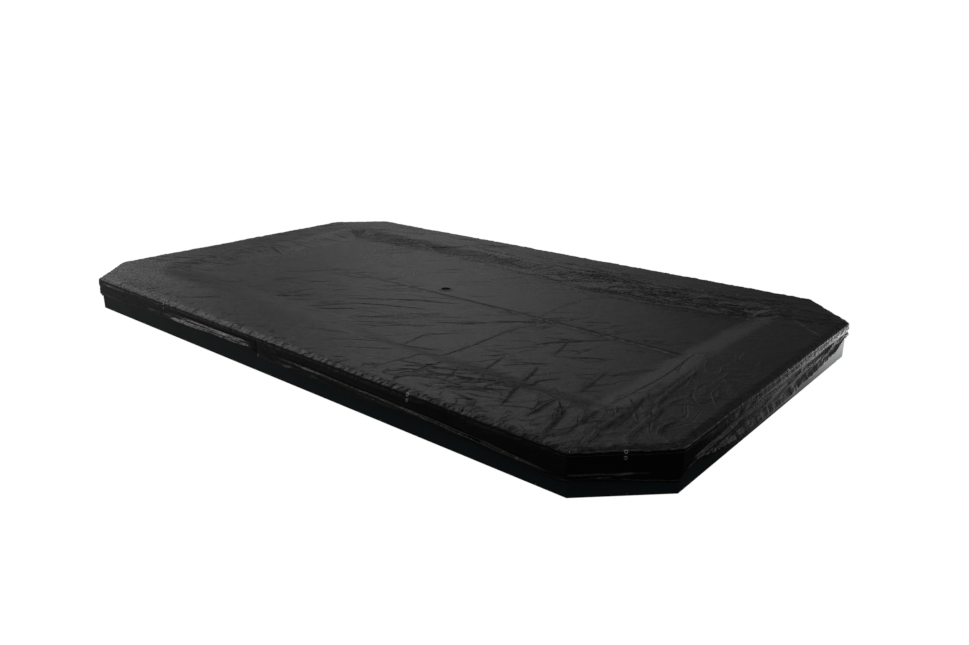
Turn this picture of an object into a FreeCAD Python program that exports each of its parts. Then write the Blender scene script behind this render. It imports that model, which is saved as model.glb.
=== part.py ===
import FreeCAD, Part
import math
import os

# A low rectangular ground-level trampoline with clipped corners: steel ring and posts, wall panels, springs,
# jump mat, edge pads, and a fitted weather cover. Millimetres, Z up, origin at the middle of the footprint.

os.makedirs("parts", exist_ok=True)
doc = FreeCAD.newDocument("GroundTrampoline")
sheet = doc.addObject("Spreadsheet::Sheet", "Sizes")

# Every driving dimension. "inset" is a distance inwards from the outer outline, level with the ground.
sizes = {
    # outline
    "full_length": 5190.0,
    "full_width": 3050.0,
    "full_height": 238.6,
    "clip_leg": 370.0,
    "mitre": math.tan(math.radians(22.5)),
    # wall panels round the outside
    "wall_inset": 16.0,
    "wall_thick": 2.0,
    "wall_height": 188.0,
    "panel_joint": 1031.0,
    "strip_width": 92.0,
    "strip_thick": 1.5,
    "screw_radius": 2.5,
    "screw_hole_radius": 2.7,
    "screw_head_radius": 5.0,
    "low_head_thick": 3.0,
    "high_head_thick": 2.2,
    "screw_length": 15.0,
    "low_screw_z": 8.0,
    "high_screw_z": 130.0,
    # posts under the ring
    "post_side": 40.0,
    "post_wall": 2.0,
    "foot_thick": 3.0,
    "foot_length": 90.0,
    "foot_depth": 66.0,
    "saddle_bottom_z": 148.0,
    "saddle_height": 12.0,
    "saddle_length": 64.0,
    "saddle_depth": 50.8,
    "bolt_radius": 4.0,
    "bolt_hole_radius": 4.2,
    "bolt_head_radius": 6.5,
    "bolt_head_thick": 5.0,
    "bolt_length": 18.0,
    "nut_radius": 7.0,
    "nut_thick": 6.5,
    # top ring
    "ring_inset": 45.0,
    "ring_z": 175.0,
    "ring_radius": 25.0,
    "ring_wall": 2.0,
    "ring_bend": 120.0,
    "ring_arm": 250.0,
    "ring_split": 500.0,
    "sleeve_radius": 22.8,
    "sleeve_wall": 2.0,
    "sleeve_length": 160.0,
    # springs
    "spring_z": 186.0,
    "spring_radius": 8.0,
    "spring_bore": 5.2,
    "spring_wire": 1.4,
    "spring_start": 60.0,
    "spring_length": 246.2,
    "coil_start": 84.0,
    "coil_length": 198.0,
    "spring_hole_radius": 3.0,
    # jump mat
    "mat_inset": 330.0,
    "mat_bottom_z": 185.0,
    "mat_thick": 2.0,
    "web_outer": 318.0,
    "web_inner": 352.0,
    "web_thick": 1.2,
    "eye_inset": 318.0,
    "eye_radius": 10.0,
    "eye_wire": 0.9,
    # edge pads
    "pad_outer": 24.0,
    "pad_inner": 428.0,
    "pad_bottom_z": 200.3,
    "pad_height": 33.4,
    "skin_thick": 1.0,
    "pad_gap": 0.4,
    "strap_width": 25.0,
    "strap_thick": 1.2,
    "strap_inset": 18.4,
    "strap_bottom_z": 152.0,
    # weather cover
    "cloth_thick": 4.0,
    "rim_inner": 440.0,
    "trough_inset": 620.0,
    "trough_z": 188.3,
    "skirt_inset": 1.5,
    "hem_z": 80.0,
    "elastic_inset": 9.3,
    "elastic_radius": 2.5,
    "elastic_z": 85.0,
    "eyelet_radius": 5.5,
    "eyelet_hole": 3.0,
    "eyelet_lip": 1.5,
    "tie_width": 12.0,
    "tie_thick": 1.0,
    "tie_inset": 12.4,
    "tie_bottom_z": 86.0,
    "tie_height": 146.0,
    "drain_radius": 40.0,
    "drain_rim": 52.0,
    "drain_thick": 0.8,
}
derived = {
    "long_half": "=full_length / 2 - clip_leg",
    "short_half": "=full_width / 2 - clip_leg",
    "clip_half": "=clip_leg / sqrt(2)",
    "wall_inner": "=wall_inset + wall_thick",
    "post_inset": "=wall_inner + strip_thick",
    "post_height": "=saddle_bottom_z - foot_thick",
    "rim_bottom_z": "=full_height - cloth_thick",
    "skirt_height": "=rim_bottom_z - hem_z",
    "pad_top_z": "=pad_bottom_z + pad_height",
    "foam_bottom_z": "=pad_bottom_z + skin_thick",
    "foam_top_z": "=pad_bottom_z + pad_height - skin_thick",
    "foam_outer": "=pad_outer + skin_thick",
    "foam_inner": "=pad_inner - skin_thick",
    "strap_height": "=pad_bottom_z - strap_bottom_z",
    "web_top_z": "=mat_bottom_z + mat_thick",
    "web_low_z": "=mat_bottom_z - web_thick",
}
for row, (alias, value) in enumerate(list(sizes.items()) + list(derived.items()), start=1):
    sheet.set(f"A{row}", alias)
    sheet.set(f"B{row}", str(value))
    sheet.setAlias(f"B{row}", alias)
doc.recompute()

facets = ["front", "front_right", "right", "back_right", "back", "back_left", "left", "front_left"]
halfOf = ["long_half", "clip_half", "short_half", "clip_half"] * 2
screwSpots = [[-2047.0, -998.0, 0.0, 998.0, 2047.0], [20.0], [-1030.0, 33.0, 1030.0], [20.0]] * 2
springCounts = [44, 3, 21, 3] * 2
nodes = {}
parts = []


def size(alias):
    """The value of one named dimension."""
    return float(sheet.get(alias))


def facetPlacement(k, along=0.0, inset=0.0, z=0.0, turn=None):
    """Facet k's own axes: X along the side, Y inwards, Z up, from the middle of its outer edge."""
    half, wide, leg = size("full_length") / 2, size("full_width") / 2, size("clip_leg") / 2
    middles = [(0, -wide), (half - leg, leg - wide), (half, 0), (half - leg, wide - leg),
               (0, wide), (leg - half, wide - leg), (-half, 0), (leg - half, leg - wide)]
    base = FreeCAD.Placement(
        FreeCAD.Vector(*middles[k], 0), FreeCAD.Rotation(FreeCAD.Vector(0, 0, 1), 45 * k)
    )
    here = FreeCAD.Placement(FreeCAD.Vector(along, inset, z), turn or FreeCAD.Rotation())
    return base.multiply(here)


alongSide = FreeCAD.Rotation(FreeCAD.Vector(0, 1, 0), 90)
inwards = FreeCAD.Rotation(FreeCAD.Vector(1, 0, 0), -90)


def bind(obj, **links):
    """Ties each named property to a spreadsheet expression written with bare alias names."""
    for prop, text in links.items():
        words = "".join(c if c.isalnum() or c == "_" else " " for c in str(text)).split()
        for word in sorted(set(words), key=len, reverse=True):
            if word in sizes or word in derived:
                text = replaceWord(str(text), word)
        obj.setExpression(prop, str(text))
    return obj


def replaceWord(text, word):
    """Puts the sheet's name in front of each whole occurrence of an alias."""
    out, i = "", 0
    while i < len(text):
        hit = text.startswith(word, i)
        before = out[-1] if out else " "
        after = text[i + len(word)] if i + len(word) < len(text) else " "
        whole = not (before.isalnum() or before in "_.") and not (after.isalnum() or after == "_")
        if hit and whole:
            out += "Sizes." + word
            i += len(word)
        else:
            out += text[i]
            i += 1
    return out


def primitive(kind, placement, **links):
    obj = bind(doc.addObject("Part::" + kind, kind), **links)
    obj.Placement = placement
    parts.append(obj)
    return obj


def block(placement, length, depth, height):
    return primitive("Box", placement, Length=length, Width=depth, Height=height)


def rod(placement, radius, height):
    return primitive("Cylinder", placement, Radius=radius, Height=height)


def wedge(k, ends, across, outerZ, innerZ, gap="pad_gap / 2"):
    """A plate on facet k between two insets; each end is a mitre (None) or a fixed place along the side."""
    outer, inner = across
    low, high = ends
    half = halfOf[k]

    def endAt(place, sign, inset):
        return str(place) if place is not None else f"{sign}({half} - mitre * {inset} - {gap})"

    return primitive(
        "Wedge", facetPlacement(k), Ymin=outer, Ymax=inner,
        Xmin=endAt(low, "-", outer), Xmax=endAt(high, "", outer),
        X2min=endAt(low, "-", inner), X2max=endAt(high, "", inner),
        Zmin=outerZ[0], Zmax=outerZ[1], Z2min=innerZ[0], Z2max=innerZ[1],
    )


def combine(kind, members, name="Joined"):
    obj = doc.addObject("Part::" + kind, name)
    if kind == "Compound":
        obj.Links = members
    elif kind == "Cut":
        obj.Base, obj.Tool = members
    else:
        obj.Shapes = members
    parts.append(obj)
    return obj


def tube(placement, radius, wall, height):
    """A round tube, open at both ends."""
    return combine("Cut", [rod(placement, radius, height), rod(placement, f"{radius} - {wall}", height)])


def node(name, obj):
    obj.Label = name
    nodes[name] = obj
    return obj


def group(name, members):
    return node(name, combine("Compound", members, name))


# Clearance tools, shared by everything that a fastener or a spring end goes through.
screwTools, boltTools, springTools = [], [], []
for k in range(8):
    for spot in screwSpots[k]:
        for level in ("low_screw_z", "high_screw_z"):
            at = facetPlacement(k, spot, size("wall_inset") - 1, size(level), inwards)
            screwTools.append(rod(at, "screw_hole_radius", "screw_length"))
        at = facetPlacement(k, spot, size("ring_inset"), size("saddle_bottom_z") - 1)
        boltTools.append(rod(at, "bolt_hole_radius", "bolt_length"))


def springSpots(k):
    """Even spacing over the side of the mat, half a space in from each end."""
    reach = size(halfOf[k]) - size("mitre") * size("mat_inset")
    count = springCounts[k]
    return [reach * (2 * (i + 0.5) / count - 1) for i in range(count)]


for k in range(8):
    for spot in springSpots(k):
        at = facetPlacement(k, spot, size("spring_start") - 2, size("spring_z"), inwards)
        springTools.append(rod(at, "spring_hole_radius", "ring_radius / 2"))
screwClearance = combine("Compound", screwTools, "ScrewClearance")
ringClearance = combine("Compound", boltTools + springTools, "RingClearance")

# Wall panels: two straight ones, and eight that turn a corner between a clipped corner's middle and a joint.
fullWall = ("0", "wall_height")


def wallPlate(k, low, high):
    return wedge(k, (low, high), ("wall_inset", "wall_inner"), fullWall, fullWall, "0")


def wallPanel(name, plates):
    body = plates[0] if len(plates) == 1 else combine("MultiFuse", plates)
    node(name, combine("Cut", [body, screwClearance]))


bends = {(0, "before"): "front_left", (0, "after"): "front_right", (4, "before"): "back_right",
         (4, "after"): "back_left", (2, "before"): "right_front", (2, "after"): "right_back",
         (6, "before"): "left_back", (6, "after"): "left_front"}
for (k, turn), place in bends.items():
    joint = "panel_joint" if k % 4 == 0 else "0"
    if turn == "after":
        plates = [wallPlate(k, joint, None), wallPlate((k + 1) % 8, None, 0)]
    else:
        plates = [wallPlate((k - 1) % 8, 0, None), wallPlate(k, None, "-" + joint)]
    wallPanel(f"wall_{place}_bend", plates)
wallPanel("wall_front_middle", [wallPlate(0, "-panel_joint", "panel_joint")])
wallPanel("wall_back_middle", [wallPlate(4, "-panel_joint", "panel_joint")])

strips = []
for k in range(8):
    spots = [-size("panel_joint"), size("panel_joint")] if k % 4 == 0 else [0.0]
    for spot in spots:
        at = facetPlacement(k, spot - size("strip_width") / 2, size("wall_inner"), 0)
        strips.append(combine("Cut", [block(at, "strip_width", "strip_thick", "wall_height"), screwClearance]))
group("wall_joint_strips", strips)

screws = []
for k in range(8):
    for spot in screwSpots[k]:
        for level, head in (("low_screw_z", "low_head_thick"), ("high_screw_z", "high_head_thick")):
            z = size(level)
            cap = rod(facetPlacement(k, spot, size("wall_inset") - size(head), z, inwards),
                      "screw_head_radius", head)
            shank = rod(facetPlacement(k, spot, size("wall_inset"), z, inwards), "screw_radius", "screw_length")
            screws.append(combine("MultiFuse", [cap, shank]))
group("wall_screws", screws)

# Posts: square tubes on foot plates, each with a saddle that cradles the ring, bolted up through it.
feet, saddles, bolts, nuts = [], [], [], []
postNames = {0: "posts_front", 2: "posts_right", 4: "posts_back", 6: "posts_left"}
cornerPosts = []
for k in range(8):
    posts = []
    for spot in screwSpots[k]:
        side, wall, inset = size("post_side"), size("post_wall"), size("post_inset")
        at = facetPlacement(k, spot - side / 2, inset, size("foot_thick"))
        bore = facetPlacement(k, spot - side / 2 + wall, inset + wall, size("foot_thick"))
        hollow = "post_side - 2 * post_wall"
        shell = combine("Cut", [block(at, "post_side", "post_side", "post_height"),
                                block(bore, hollow, hollow, "post_height")])
        posts.append(combine("Cut", [shell, screwClearance]))
        at = facetPlacement(k, spot - size("foot_length") / 2, inset, 0)
        feet.append(block(at, "foot_length", "foot_depth", "foot_thick"))
        at = facetPlacement(k, spot - size("saddle_length") / 2, inset + 0.1, size("saddle_bottom_z"))
        seat = facetPlacement(k, spot - size("saddle_length"), size("ring_inset"), size("ring_z"), alongSide)
        body = combine("Cut", [block(at, "saddle_length", "saddle_depth", "saddle_height"),
                               rod(seat, "ring_radius", "2 * saddle_length")])
        saddles.append(combine("Cut", [body, ringClearance]))
        centre = size("ring_inset")
        low = size("saddle_bottom_z")
        head = rod(facetPlacement(k, spot, centre, low - size("bolt_head_thick")),
                   "bolt_head_radius", "bolt_head_thick")
        shank = rod(facetPlacement(k, spot, centre, low), "bolt_radius", "bolt_length")
        bolts.append(combine("MultiFuse", [head, shank]))
        base = low + size("ring_wall") + 3.3
        nut = primitive("Prism", facetPlacement(k, spot, centre, base), Circumradius="nut_radius", Height="nut_thick")
        hole = rod(facetPlacement(k, spot, centre, base), "bolt_radius", "nut_thick")
        nuts.append(combine("Cut", [nut, hole]))
    if k in postNames:
        group(postNames[k], posts)
    else:
        cornerPosts += posts
group("posts_corners", cornerPosts)
group("foot_plates", feet)
group("ring_saddles", saddles)
group("ring_bolts", bolts)
group("ring_nuts", nuts)

# Top ring: four bent corner pieces, six straight rails, and a sleeve inside each of the ten joints.
bend, arm = size("ring_bend"), size("ring_arm")
tangent = bend * size("mitre")
ringInset, ringZ = size("ring_inset"), size("ring_z")


def ringEnd(k):
    """Half the length of facet k's ring centreline between its corners."""
    return size(halfOf[k]) - size("mitre") * ringInset


def cornerRun(k, radius):
    """The solid run of one corner piece round clipped corner k: arm, bend, middle, bend, arm."""
    before, after = (k - 1) % 8, (k + 1) % 8
    start = ringEnd(before) - tangent - arm
    run = [rod(facetPlacement(before, start, ringInset, ringZ, alongSide), radius, "ring_arm"),
           rod(facetPlacement(after, tangent - ringEnd(after), ringInset, ringZ, alongSide), radius, "ring_arm"),
           rod(facetPlacement(k, tangent - ringEnd(k), ringInset, ringZ, alongSide), radius,
               "2 * (clip_half - mitre * ring_inset - ring_bend * mitre)")]
    for side, sign in ((before, 1), (k, 1)):
        at = facetPlacement(side, ringEnd(side) - tangent, ringInset + bend, ringZ,
                            FreeCAD.Rotation(FreeCAD.Vector(0, 0, 1), -90))
        run.append(primitive("Torus", at, Radius1="ring_bend", Radius2=radius, Angle3="45"))
    return combine("MultiFuse", run)


cornerNames = {1: "ring_corner_front_right", 3: "ring_corner_back_right",
               5: "ring_corner_back_left", 7: "ring_corner_front_left"}
for k, name in cornerNames.items():
    shell = combine("Cut", [cornerRun(k, "ring_radius"), cornerRun(k, "ring_radius - ring_wall")])
    node(name, combine("Cut", [shell, ringClearance]))

railEnd = {k: ringEnd(k) - tangent - arm for k in (0, 2, 4, 6)}
rails = [("ring_rail_front_left", 0, -railEnd[0], size("ring_split")),
         ("ring_rail_front_right", 0, size("ring_split"), railEnd[0]),
         ("ring_rail_right", 2, -railEnd[2], railEnd[2]),
         ("ring_rail_back_right", 4, -railEnd[4], size("ring_split")),
         ("ring_rail_back_left", 4, size("ring_split"), railEnd[4]),
         ("ring_rail_left", 6, -railEnd[6], railEnd[6])]
reach = "({half} - mitre * ring_inset - ring_bend * mitre - ring_arm)"
for name, k, low, high in rails:
    end = reach.format(half=halfOf[k])
    reachText = f"2 * {end}"
    if high == size("ring_split"):
        reachText = f"{end} + ring_split"
    elif low == size("ring_split"):
        reachText = f"{end} - ring_split"
    straight = tube(facetPlacement(k, low, ringInset, ringZ, alongSide), "ring_radius", "ring_wall", reachText)
    node(name, combine("Cut", [straight, ringClearance]))

sleeves = []
for k in (0, 2, 4, 6):
    spots = [-railEnd[k], railEnd[k]] + ([size("ring_split")] if k in (0, 4) else [])
    for spot in spots:
        at = facetPlacement(k, spot - size("sleeve_length") / 2, ringInset, ringZ, alongSide)
        sleeves.append(combine("Cut", [tube(at, "sleeve_radius", "sleeve_wall", "sleeve_length"), ringClearance]))
group("ring_sleeves", sleeves)

# Springs: a close coil with a straight tail at each end; one tail goes into the ring, the other to a mat eye.
cornerSprings = []
for k in range(8):
    row = []
    for spot in springSpots(k):
        z = size("spring_z")
        coil = tube(facetPlacement(k, spot, size("coil_start"), z, inwards),
                    "spring_radius", "(spring_radius - spring_bore)", "coil_length")
        coreAt = facetPlacement(k, spot, size("spring_start"), z, inwards)
        tails = [rod(coreAt, "spring_wire", "coil_start - spring_start"),
                 rod(facetPlacement(k, spot, size("coil_start") + size("coil_length"), z, inwards),
                     "spring_wire", "spring_start + spring_length - coil_start - coil_length")]
        caps = [rod(facetPlacement(k, spot, inset, z, inwards), "spring_radius", "2 * spring_wire")
                for inset in (size("coil_start"),
                              size("coil_start") + size("coil_length") - 2 * size("spring_wire"))]
        row.append(combine("MultiFuse", [coil] + caps + tails))
    if k % 2:
        cornerSprings += row
    else:
        group("springs_" + facets[k], row)
group("springs_corners", cornerSprings)

# Jump mat: one clipped rectangle, a folded webbing edge above and below it, and the wire eyes held in the fold.


def octagon(inset, bottomZ, thick):
    """A clipped rectangle set in from the outline: an upright box and a box turned 45 degrees, in common."""
    length, width = size("full_length") - 2 * size(inset), size("full_width") - 2 * size(inset)
    upright = block(FreeCAD.Placement(FreeCAD.Vector(-length / 2, -width / 2, bottomZ), FreeCAD.Rotation()),
                    f"full_length - 2 * {inset}", f"full_width - 2 * {inset}", thick)
    span = (size("full_length") / 2 + size("full_width") / 2 - size("clip_leg")) / math.sqrt(2) - size(inset)
    turn = FreeCAD.Rotation(FreeCAD.Vector(0, 0, 1), 45)
    corner = turn.multVec(FreeCAD.Vector(-span, -span, 0)) + FreeCAD.Vector(0, 0, bottomZ)
    across = f"2 * ((full_length / 2 + full_width / 2 - clip_leg) / sqrt(2) - {inset})"
    turned = block(FreeCAD.Placement(corner, turn), across, across, thick)
    return combine("MultiCommon", [upright, turned])


node("jump_mat", octagon("mat_inset", size("mat_bottom_z"), "mat_thick"))
webs, eyes = [], []
for k in range(8):
    above = ("web_top_z", "web_top_z + web_thick")
    below = ("web_low_z", "mat_bottom_z")
    webs.append(wedge(k, (None, None), ("web_outer", "web_inner"), above, above))
    webs.append(wedge(k, (None, None), ("web_outer", "web_inner"), below, below))
    for spot in springSpots(k):
        z = size("mat_bottom_z") + size("mat_thick") / 2
        at = facetPlacement(k, spot, size("eye_inset"), z)
        eyes.append(primitive("Torus", at, Radius1="eye_radius", Radius2="eye_wire"))
group("mat_webbing", webs)
group("mat_eyes", eyes)

# Edge pads: foam in a closed skin, mitred at the corners, held down by straps beside the ring.
padGroups = {"front": [0], "right": [2], "back": [4], "left": [6], "corners": [1, 3, 5, 7]}
for side, members in padGroups.items():
    foams, skins = [], []
    for k in members:
        foamZ = ("foam_bottom_z", "foam_top_z")
        padZ = ("pad_bottom_z", "pad_top_z")
        half = halfOf[k]
        foamEnds = {}
        for sign, tag in (("-", "min"), ("", "max")):
            foamEnds["X" + tag] = f"{sign}({half} - mitre * foam_outer - pad_gap - skin_thick)"
            foamEnds["X2" + tag] = f"{sign}({half} - mitre * foam_inner - pad_gap - skin_thick)"

        def foamBlock():
            return primitive("Wedge", facetPlacement(k), Ymin="foam_outer", Ymax="foam_inner",
                             Zmin=foamZ[0], Zmax=foamZ[1], Z2min=foamZ[0], Z2max=foamZ[1], **foamEnds)

        foams.append(foamBlock())
        outside = wedge(k, (None, None), ("pad_outer", "pad_inner"), padZ, padZ)
        skins.append(combine("Cut", [outside, foamBlock()]))
    group("pad_foam_" + side, foams)
    group("pad_skin_" + side, skins)

straps = []
strapSpots = [[-1750, -1300, -700, -250, 250, 700, 1300, 1750], [-110], [-700, -300, 300, 700], [-110]] * 2
for k in range(8):
    for spot in strapSpots[k]:
        at = facetPlacement(k, spot - size("strap_width") / 2, size("strap_inset"), size("strap_bottom_z"))
        straps.append(block(at, "strap_width", "strap_thick", "strap_height"))
group("pad_straps", straps)

# Weather cover: a rim over the pads, a slope down to the middle sheet, and a skirt with an elastic hem.
rimZ = ("rim_bottom_z", "full_height")
troughZ = ("trough_z", "trough_z + cloth_thick")
skirtZ = ("hem_z", "rim_bottom_z")
rims = [wedge(k, (None, None), ("0", "rim_inner"), rimZ, rimZ) for k in range(8)]
slopes = [wedge(k, (None, None), ("rim_inner", "trough_inset"), rimZ, troughZ) for k in range(8)]
group("cover_rim", rims)
group("cover_slope", slopes)

eyeletSpots = [
    [(s, z) for s in (-1230.0, 1230.0) for z in (200.0, 228.5)] + [(-110.0, 92.0)],
    [(0.0, 90.0), (0.0, 200.0), (0.0, 228.5)],
    [(80.0, 200.0), (80.0, 228.5)],
    [(0.0, 90.0), (0.0, 200.0), (0.0, 228.5)],
] * 2
eyeletTools, eyelets = [], []
for k in range(8):
    for spot, z in eyeletSpots[k]:
        front = facetPlacement(k, spot, size("skirt_inset") - size("eyelet_lip"), z, inwards)
        eyeletTools.append(rod(front, "eyelet_hole", "2 * eyelet_lip + cloth_thick"))
        outer = rod(front, "eyelet_radius", "eyelet_lip")
        inner = rod(facetPlacement(k, spot, size("skirt_inset") + size("cloth_thick"), z, inwards),
                    "eyelet_radius", "eyelet_lip * 0.6")
        eyelets.append((outer, inner, front))
eyeletClearance = combine("Compound", eyeletTools, "EyeletClearance")
skirts = []
for k in range(8):
    plate = wedge(k, (None, None), ("skirt_inset", "skirt_inset + cloth_thick"), skirtZ, skirtZ)
    skirts.append(combine("Cut", [plate, eyeletClearance]))
group("cover_skirt", skirts)
rings = []
for outer, inner, front in eyelets:
    barrel = rod(front, "eyelet_hole", "eyelet_lip * 1.6 + cloth_thick")
    bore = rod(front, "eyelet_hole - 0.6", "eyelet_lip * 1.6 + cloth_thick")
    rings.append(combine("Cut", [combine("MultiFuse", [outer, inner, barrel]), bore]))
group("cover_eyelets", rings)

drainAt = FreeCAD.Vector(-60, 140, size("trough_z"))
hole = rod(FreeCAD.Placement(drainAt, FreeCAD.Rotation()), "drain_radius", "cloth_thick")
node("cover_middle", combine("Cut", [octagon("trough_inset", size("trough_z"), "cloth_thick"), hole]))
below = FreeCAD.Placement(drainAt - FreeCAD.Vector(0, 0, size("drain_thick")), FreeCAD.Rotation())
node("drain_mesh", rod(below, "drain_rim", "drain_thick"))

elastics = []
for k in range(8):
    end = size(halfOf[k]) - size("mitre") * size("elastic_inset") - 0.5
    at = facetPlacement(k, -end, size("elastic_inset"), size("elastic_z"), alongSide)
    elastics.append(rod(at, "elastic_radius", f"2 * ({halfOf[k]} - mitre * elastic_inset - 0.5)"))
group("hem_elastic", elastics)

ties = []
tieSpots = [[-1230, 1230], [0], [80], [0]] * 2
for k in range(8):
    for spot in tieSpots[k]:
        at = facetPlacement(k, spot - size("tie_width") / 2, size("tie_inset"), size("tie_bottom_z"))
        ties.append(block(at, "tie_width", "tie_thick", "tie_height"))
group("cover_ties", ties)

doc.recompute()
for obj in parts:
    for word in ("Invalid", "Error"):
        if word in obj.State:
            raise RuntimeError(f"{obj.Name} is {word}")
for name, obj in nodes.items():
    shape = obj.Shape
    if shape.isNull() or not shape.isValid():
        raise RuntimeError(f"{name} has no valid shape")
    shape.exportStep(f"parts/{name}.step")
    print(name, len(shape.Solids), round(shape.Volume / 1000.0, 1))
print(len(nodes), "nodes")
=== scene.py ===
import math

import bmesh
import bpy
import numpy as np
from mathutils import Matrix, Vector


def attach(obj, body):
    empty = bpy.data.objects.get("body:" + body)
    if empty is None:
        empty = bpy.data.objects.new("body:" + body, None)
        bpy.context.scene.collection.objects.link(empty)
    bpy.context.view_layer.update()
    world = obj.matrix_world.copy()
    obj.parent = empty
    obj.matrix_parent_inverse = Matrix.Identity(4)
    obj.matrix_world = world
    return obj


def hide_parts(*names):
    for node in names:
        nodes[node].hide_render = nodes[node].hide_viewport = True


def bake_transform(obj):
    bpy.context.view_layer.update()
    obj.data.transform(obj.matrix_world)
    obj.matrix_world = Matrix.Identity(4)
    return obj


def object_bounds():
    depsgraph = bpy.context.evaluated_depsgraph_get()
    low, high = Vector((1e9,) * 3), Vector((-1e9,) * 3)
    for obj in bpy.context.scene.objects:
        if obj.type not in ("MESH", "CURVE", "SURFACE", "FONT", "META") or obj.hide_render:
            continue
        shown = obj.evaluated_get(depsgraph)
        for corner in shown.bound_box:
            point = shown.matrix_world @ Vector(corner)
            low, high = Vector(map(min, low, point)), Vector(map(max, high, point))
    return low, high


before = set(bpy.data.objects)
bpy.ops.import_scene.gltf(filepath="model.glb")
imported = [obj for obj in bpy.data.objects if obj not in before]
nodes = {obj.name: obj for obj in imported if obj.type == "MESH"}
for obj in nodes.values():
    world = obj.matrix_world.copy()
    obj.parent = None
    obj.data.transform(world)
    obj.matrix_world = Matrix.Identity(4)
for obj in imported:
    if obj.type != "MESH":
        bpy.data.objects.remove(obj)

cadLow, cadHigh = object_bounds()
print("frame loaded:", len(nodes), "CAD nodes")

# the whole outline, in metres; the clipped corner's leg is measured along either side
outline = {
    "halfLength": cadHigh.x,
    "halfWidth": cadHigh.y,
    "top": cadHigh.z,
    "clipLeg": 0.370,
}
mitre = math.tan(math.radians(22.5))
rootTwo = math.sqrt(2.0)
# half the length of each side, front first and then round to the right
halves = [outline["halfLength"] - outline["clipLeg"], outline["clipLeg"] / rootTwo,
          outline["halfWidth"] - outline["clipLeg"], outline["clipLeg"] / rootTwo] * 2


# ---- camera ----
view = {
    "place": (3.960, -4.112, 1.857),
    "tilt": 71.695,   # degrees up from straight down
    "turn": 40.496,
    "lens": 29.38,
}
cameraData = bpy.data.cameras.new("camera")
cameraData.lens = view["lens"]
cameraData.sensor_width = 36.0
cameraData.clip_end = 200.0
camera = bpy.data.objects.new("camera", cameraData)
camera.location = view["place"]
camera.rotation_euler = (math.radians(view["tilt"]), 0.0, math.radians(view["turn"]))
bpy.context.scene.collection.objects.link(camera)
bpy.context.scene.camera = camera


# ---- numbers over whole arrays ----

# eases from 0 to 1 between two edges: t*t*(3-2t)
def ease(low, high, x):
    t = np.clip((x - low) / (high - low), 0.0, 1.0)
    return t * t * (3.0 - 2.0 * t)


# a bell: 1 at the middle, falling as exp(-(x/width)^2)
def bell(x, middle, width):
    return np.exp(-(((x - middle) / width) ** 2))


# smooth random field of about -1 to 1: each whole-number corner has a random slope, blended with
# 6t^5-15t^4+10t^3
def softNoise(x, y, seed):
    xi, yi = np.floor(x).astype(np.int64), np.floor(y).astype(np.int64)
    xf, yf = x - xi, y - yi

    def corner(i, j):
        h = ((xi + i) * 374761393 + (yi + j) * 668265263 + seed * 974634777) & 0x7FFFFFFF
        h = ((h ^ (h >> 13)) * 1274126177) & 0x7FFFFFFF
        turn = ((h ^ (h >> 16)) & 65535) * (2.0 * math.pi / 65536.0)
        return np.cos(turn) * (xf - i) + np.sin(turn) * (yf - j)

    u = xf * xf * xf * (xf * (xf * 6.0 - 15.0) + 10.0)
    v = yf * yf * yf * (yf * (yf * 6.0 - 15.0) + 10.0)
    near = corner(0, 0) * (1 - u) + corner(1, 0) * u
    far = corner(0, 1) * (1 - u) + corner(1, 1) * u
    return (near * (1 - v) + far * v) * 1.5


# octaves of soft noise, each twice as fine and half as strong
def cloudNoise(x, y, seed, octaves=4):
    total, weight = 0.0, 0.5
    for octave in range(octaves):
        total = total + softNoise(x * 2.0 ** octave, y * 2.0 ** octave, seed + octave * 17) * weight
        weight *= 0.5
    return total * 1.1


# sharp ridges where a soft field crosses zero: (1-|n|)^power
def ridgeNoise(x, y, seed, power=6.0):
    return np.clip(1.0 - np.abs(softNoise(x, y, seed)), 0.0, 1.0) ** power


# distance in from the clipped outline: the least of the three edge distances, by symmetry
def insetOf(x, y):
    ax, ay = np.abs(x), np.abs(y)
    a, b, leg = outline["halfLength"], outline["halfWidth"], outline["clipLeg"]
    return np.minimum(np.minimum(a - ax, b - ay), (a + b - leg - ax - ay) / rootTwo)


# ---- meshes from grids ----

# the quads of a grid numbered row by row from start; wrapping joins the last column or row to the first
def gridQuads(rows, columns, wrapU=False, wrapV=False, start=0):
    index = np.arange(rows * columns).reshape(rows, columns) + start
    if wrapU:
        index = np.concatenate([index, index[:, :1]], 1)
    if wrapV:
        index = np.concatenate([index, index[:1]], 0)
    return np.stack([index[:-1, :-1], index[:-1, 1:], index[1:, 1:], index[1:, :-1]], -1).reshape(-1, 4)


def gridObject(name, points, wrapU=False, wrapV=False, uv=None, flip=False, smooth=True):
    rows, columns = points.shape[:2]
    quads = gridQuads(rows, columns, wrapU, wrapV)
    if flip:
        quads = quads[:, ::-1]
    return faceObject(name, points.reshape(-1, 3), quads, uv if uv is None else uv.reshape(-1, 2), smooth)


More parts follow.
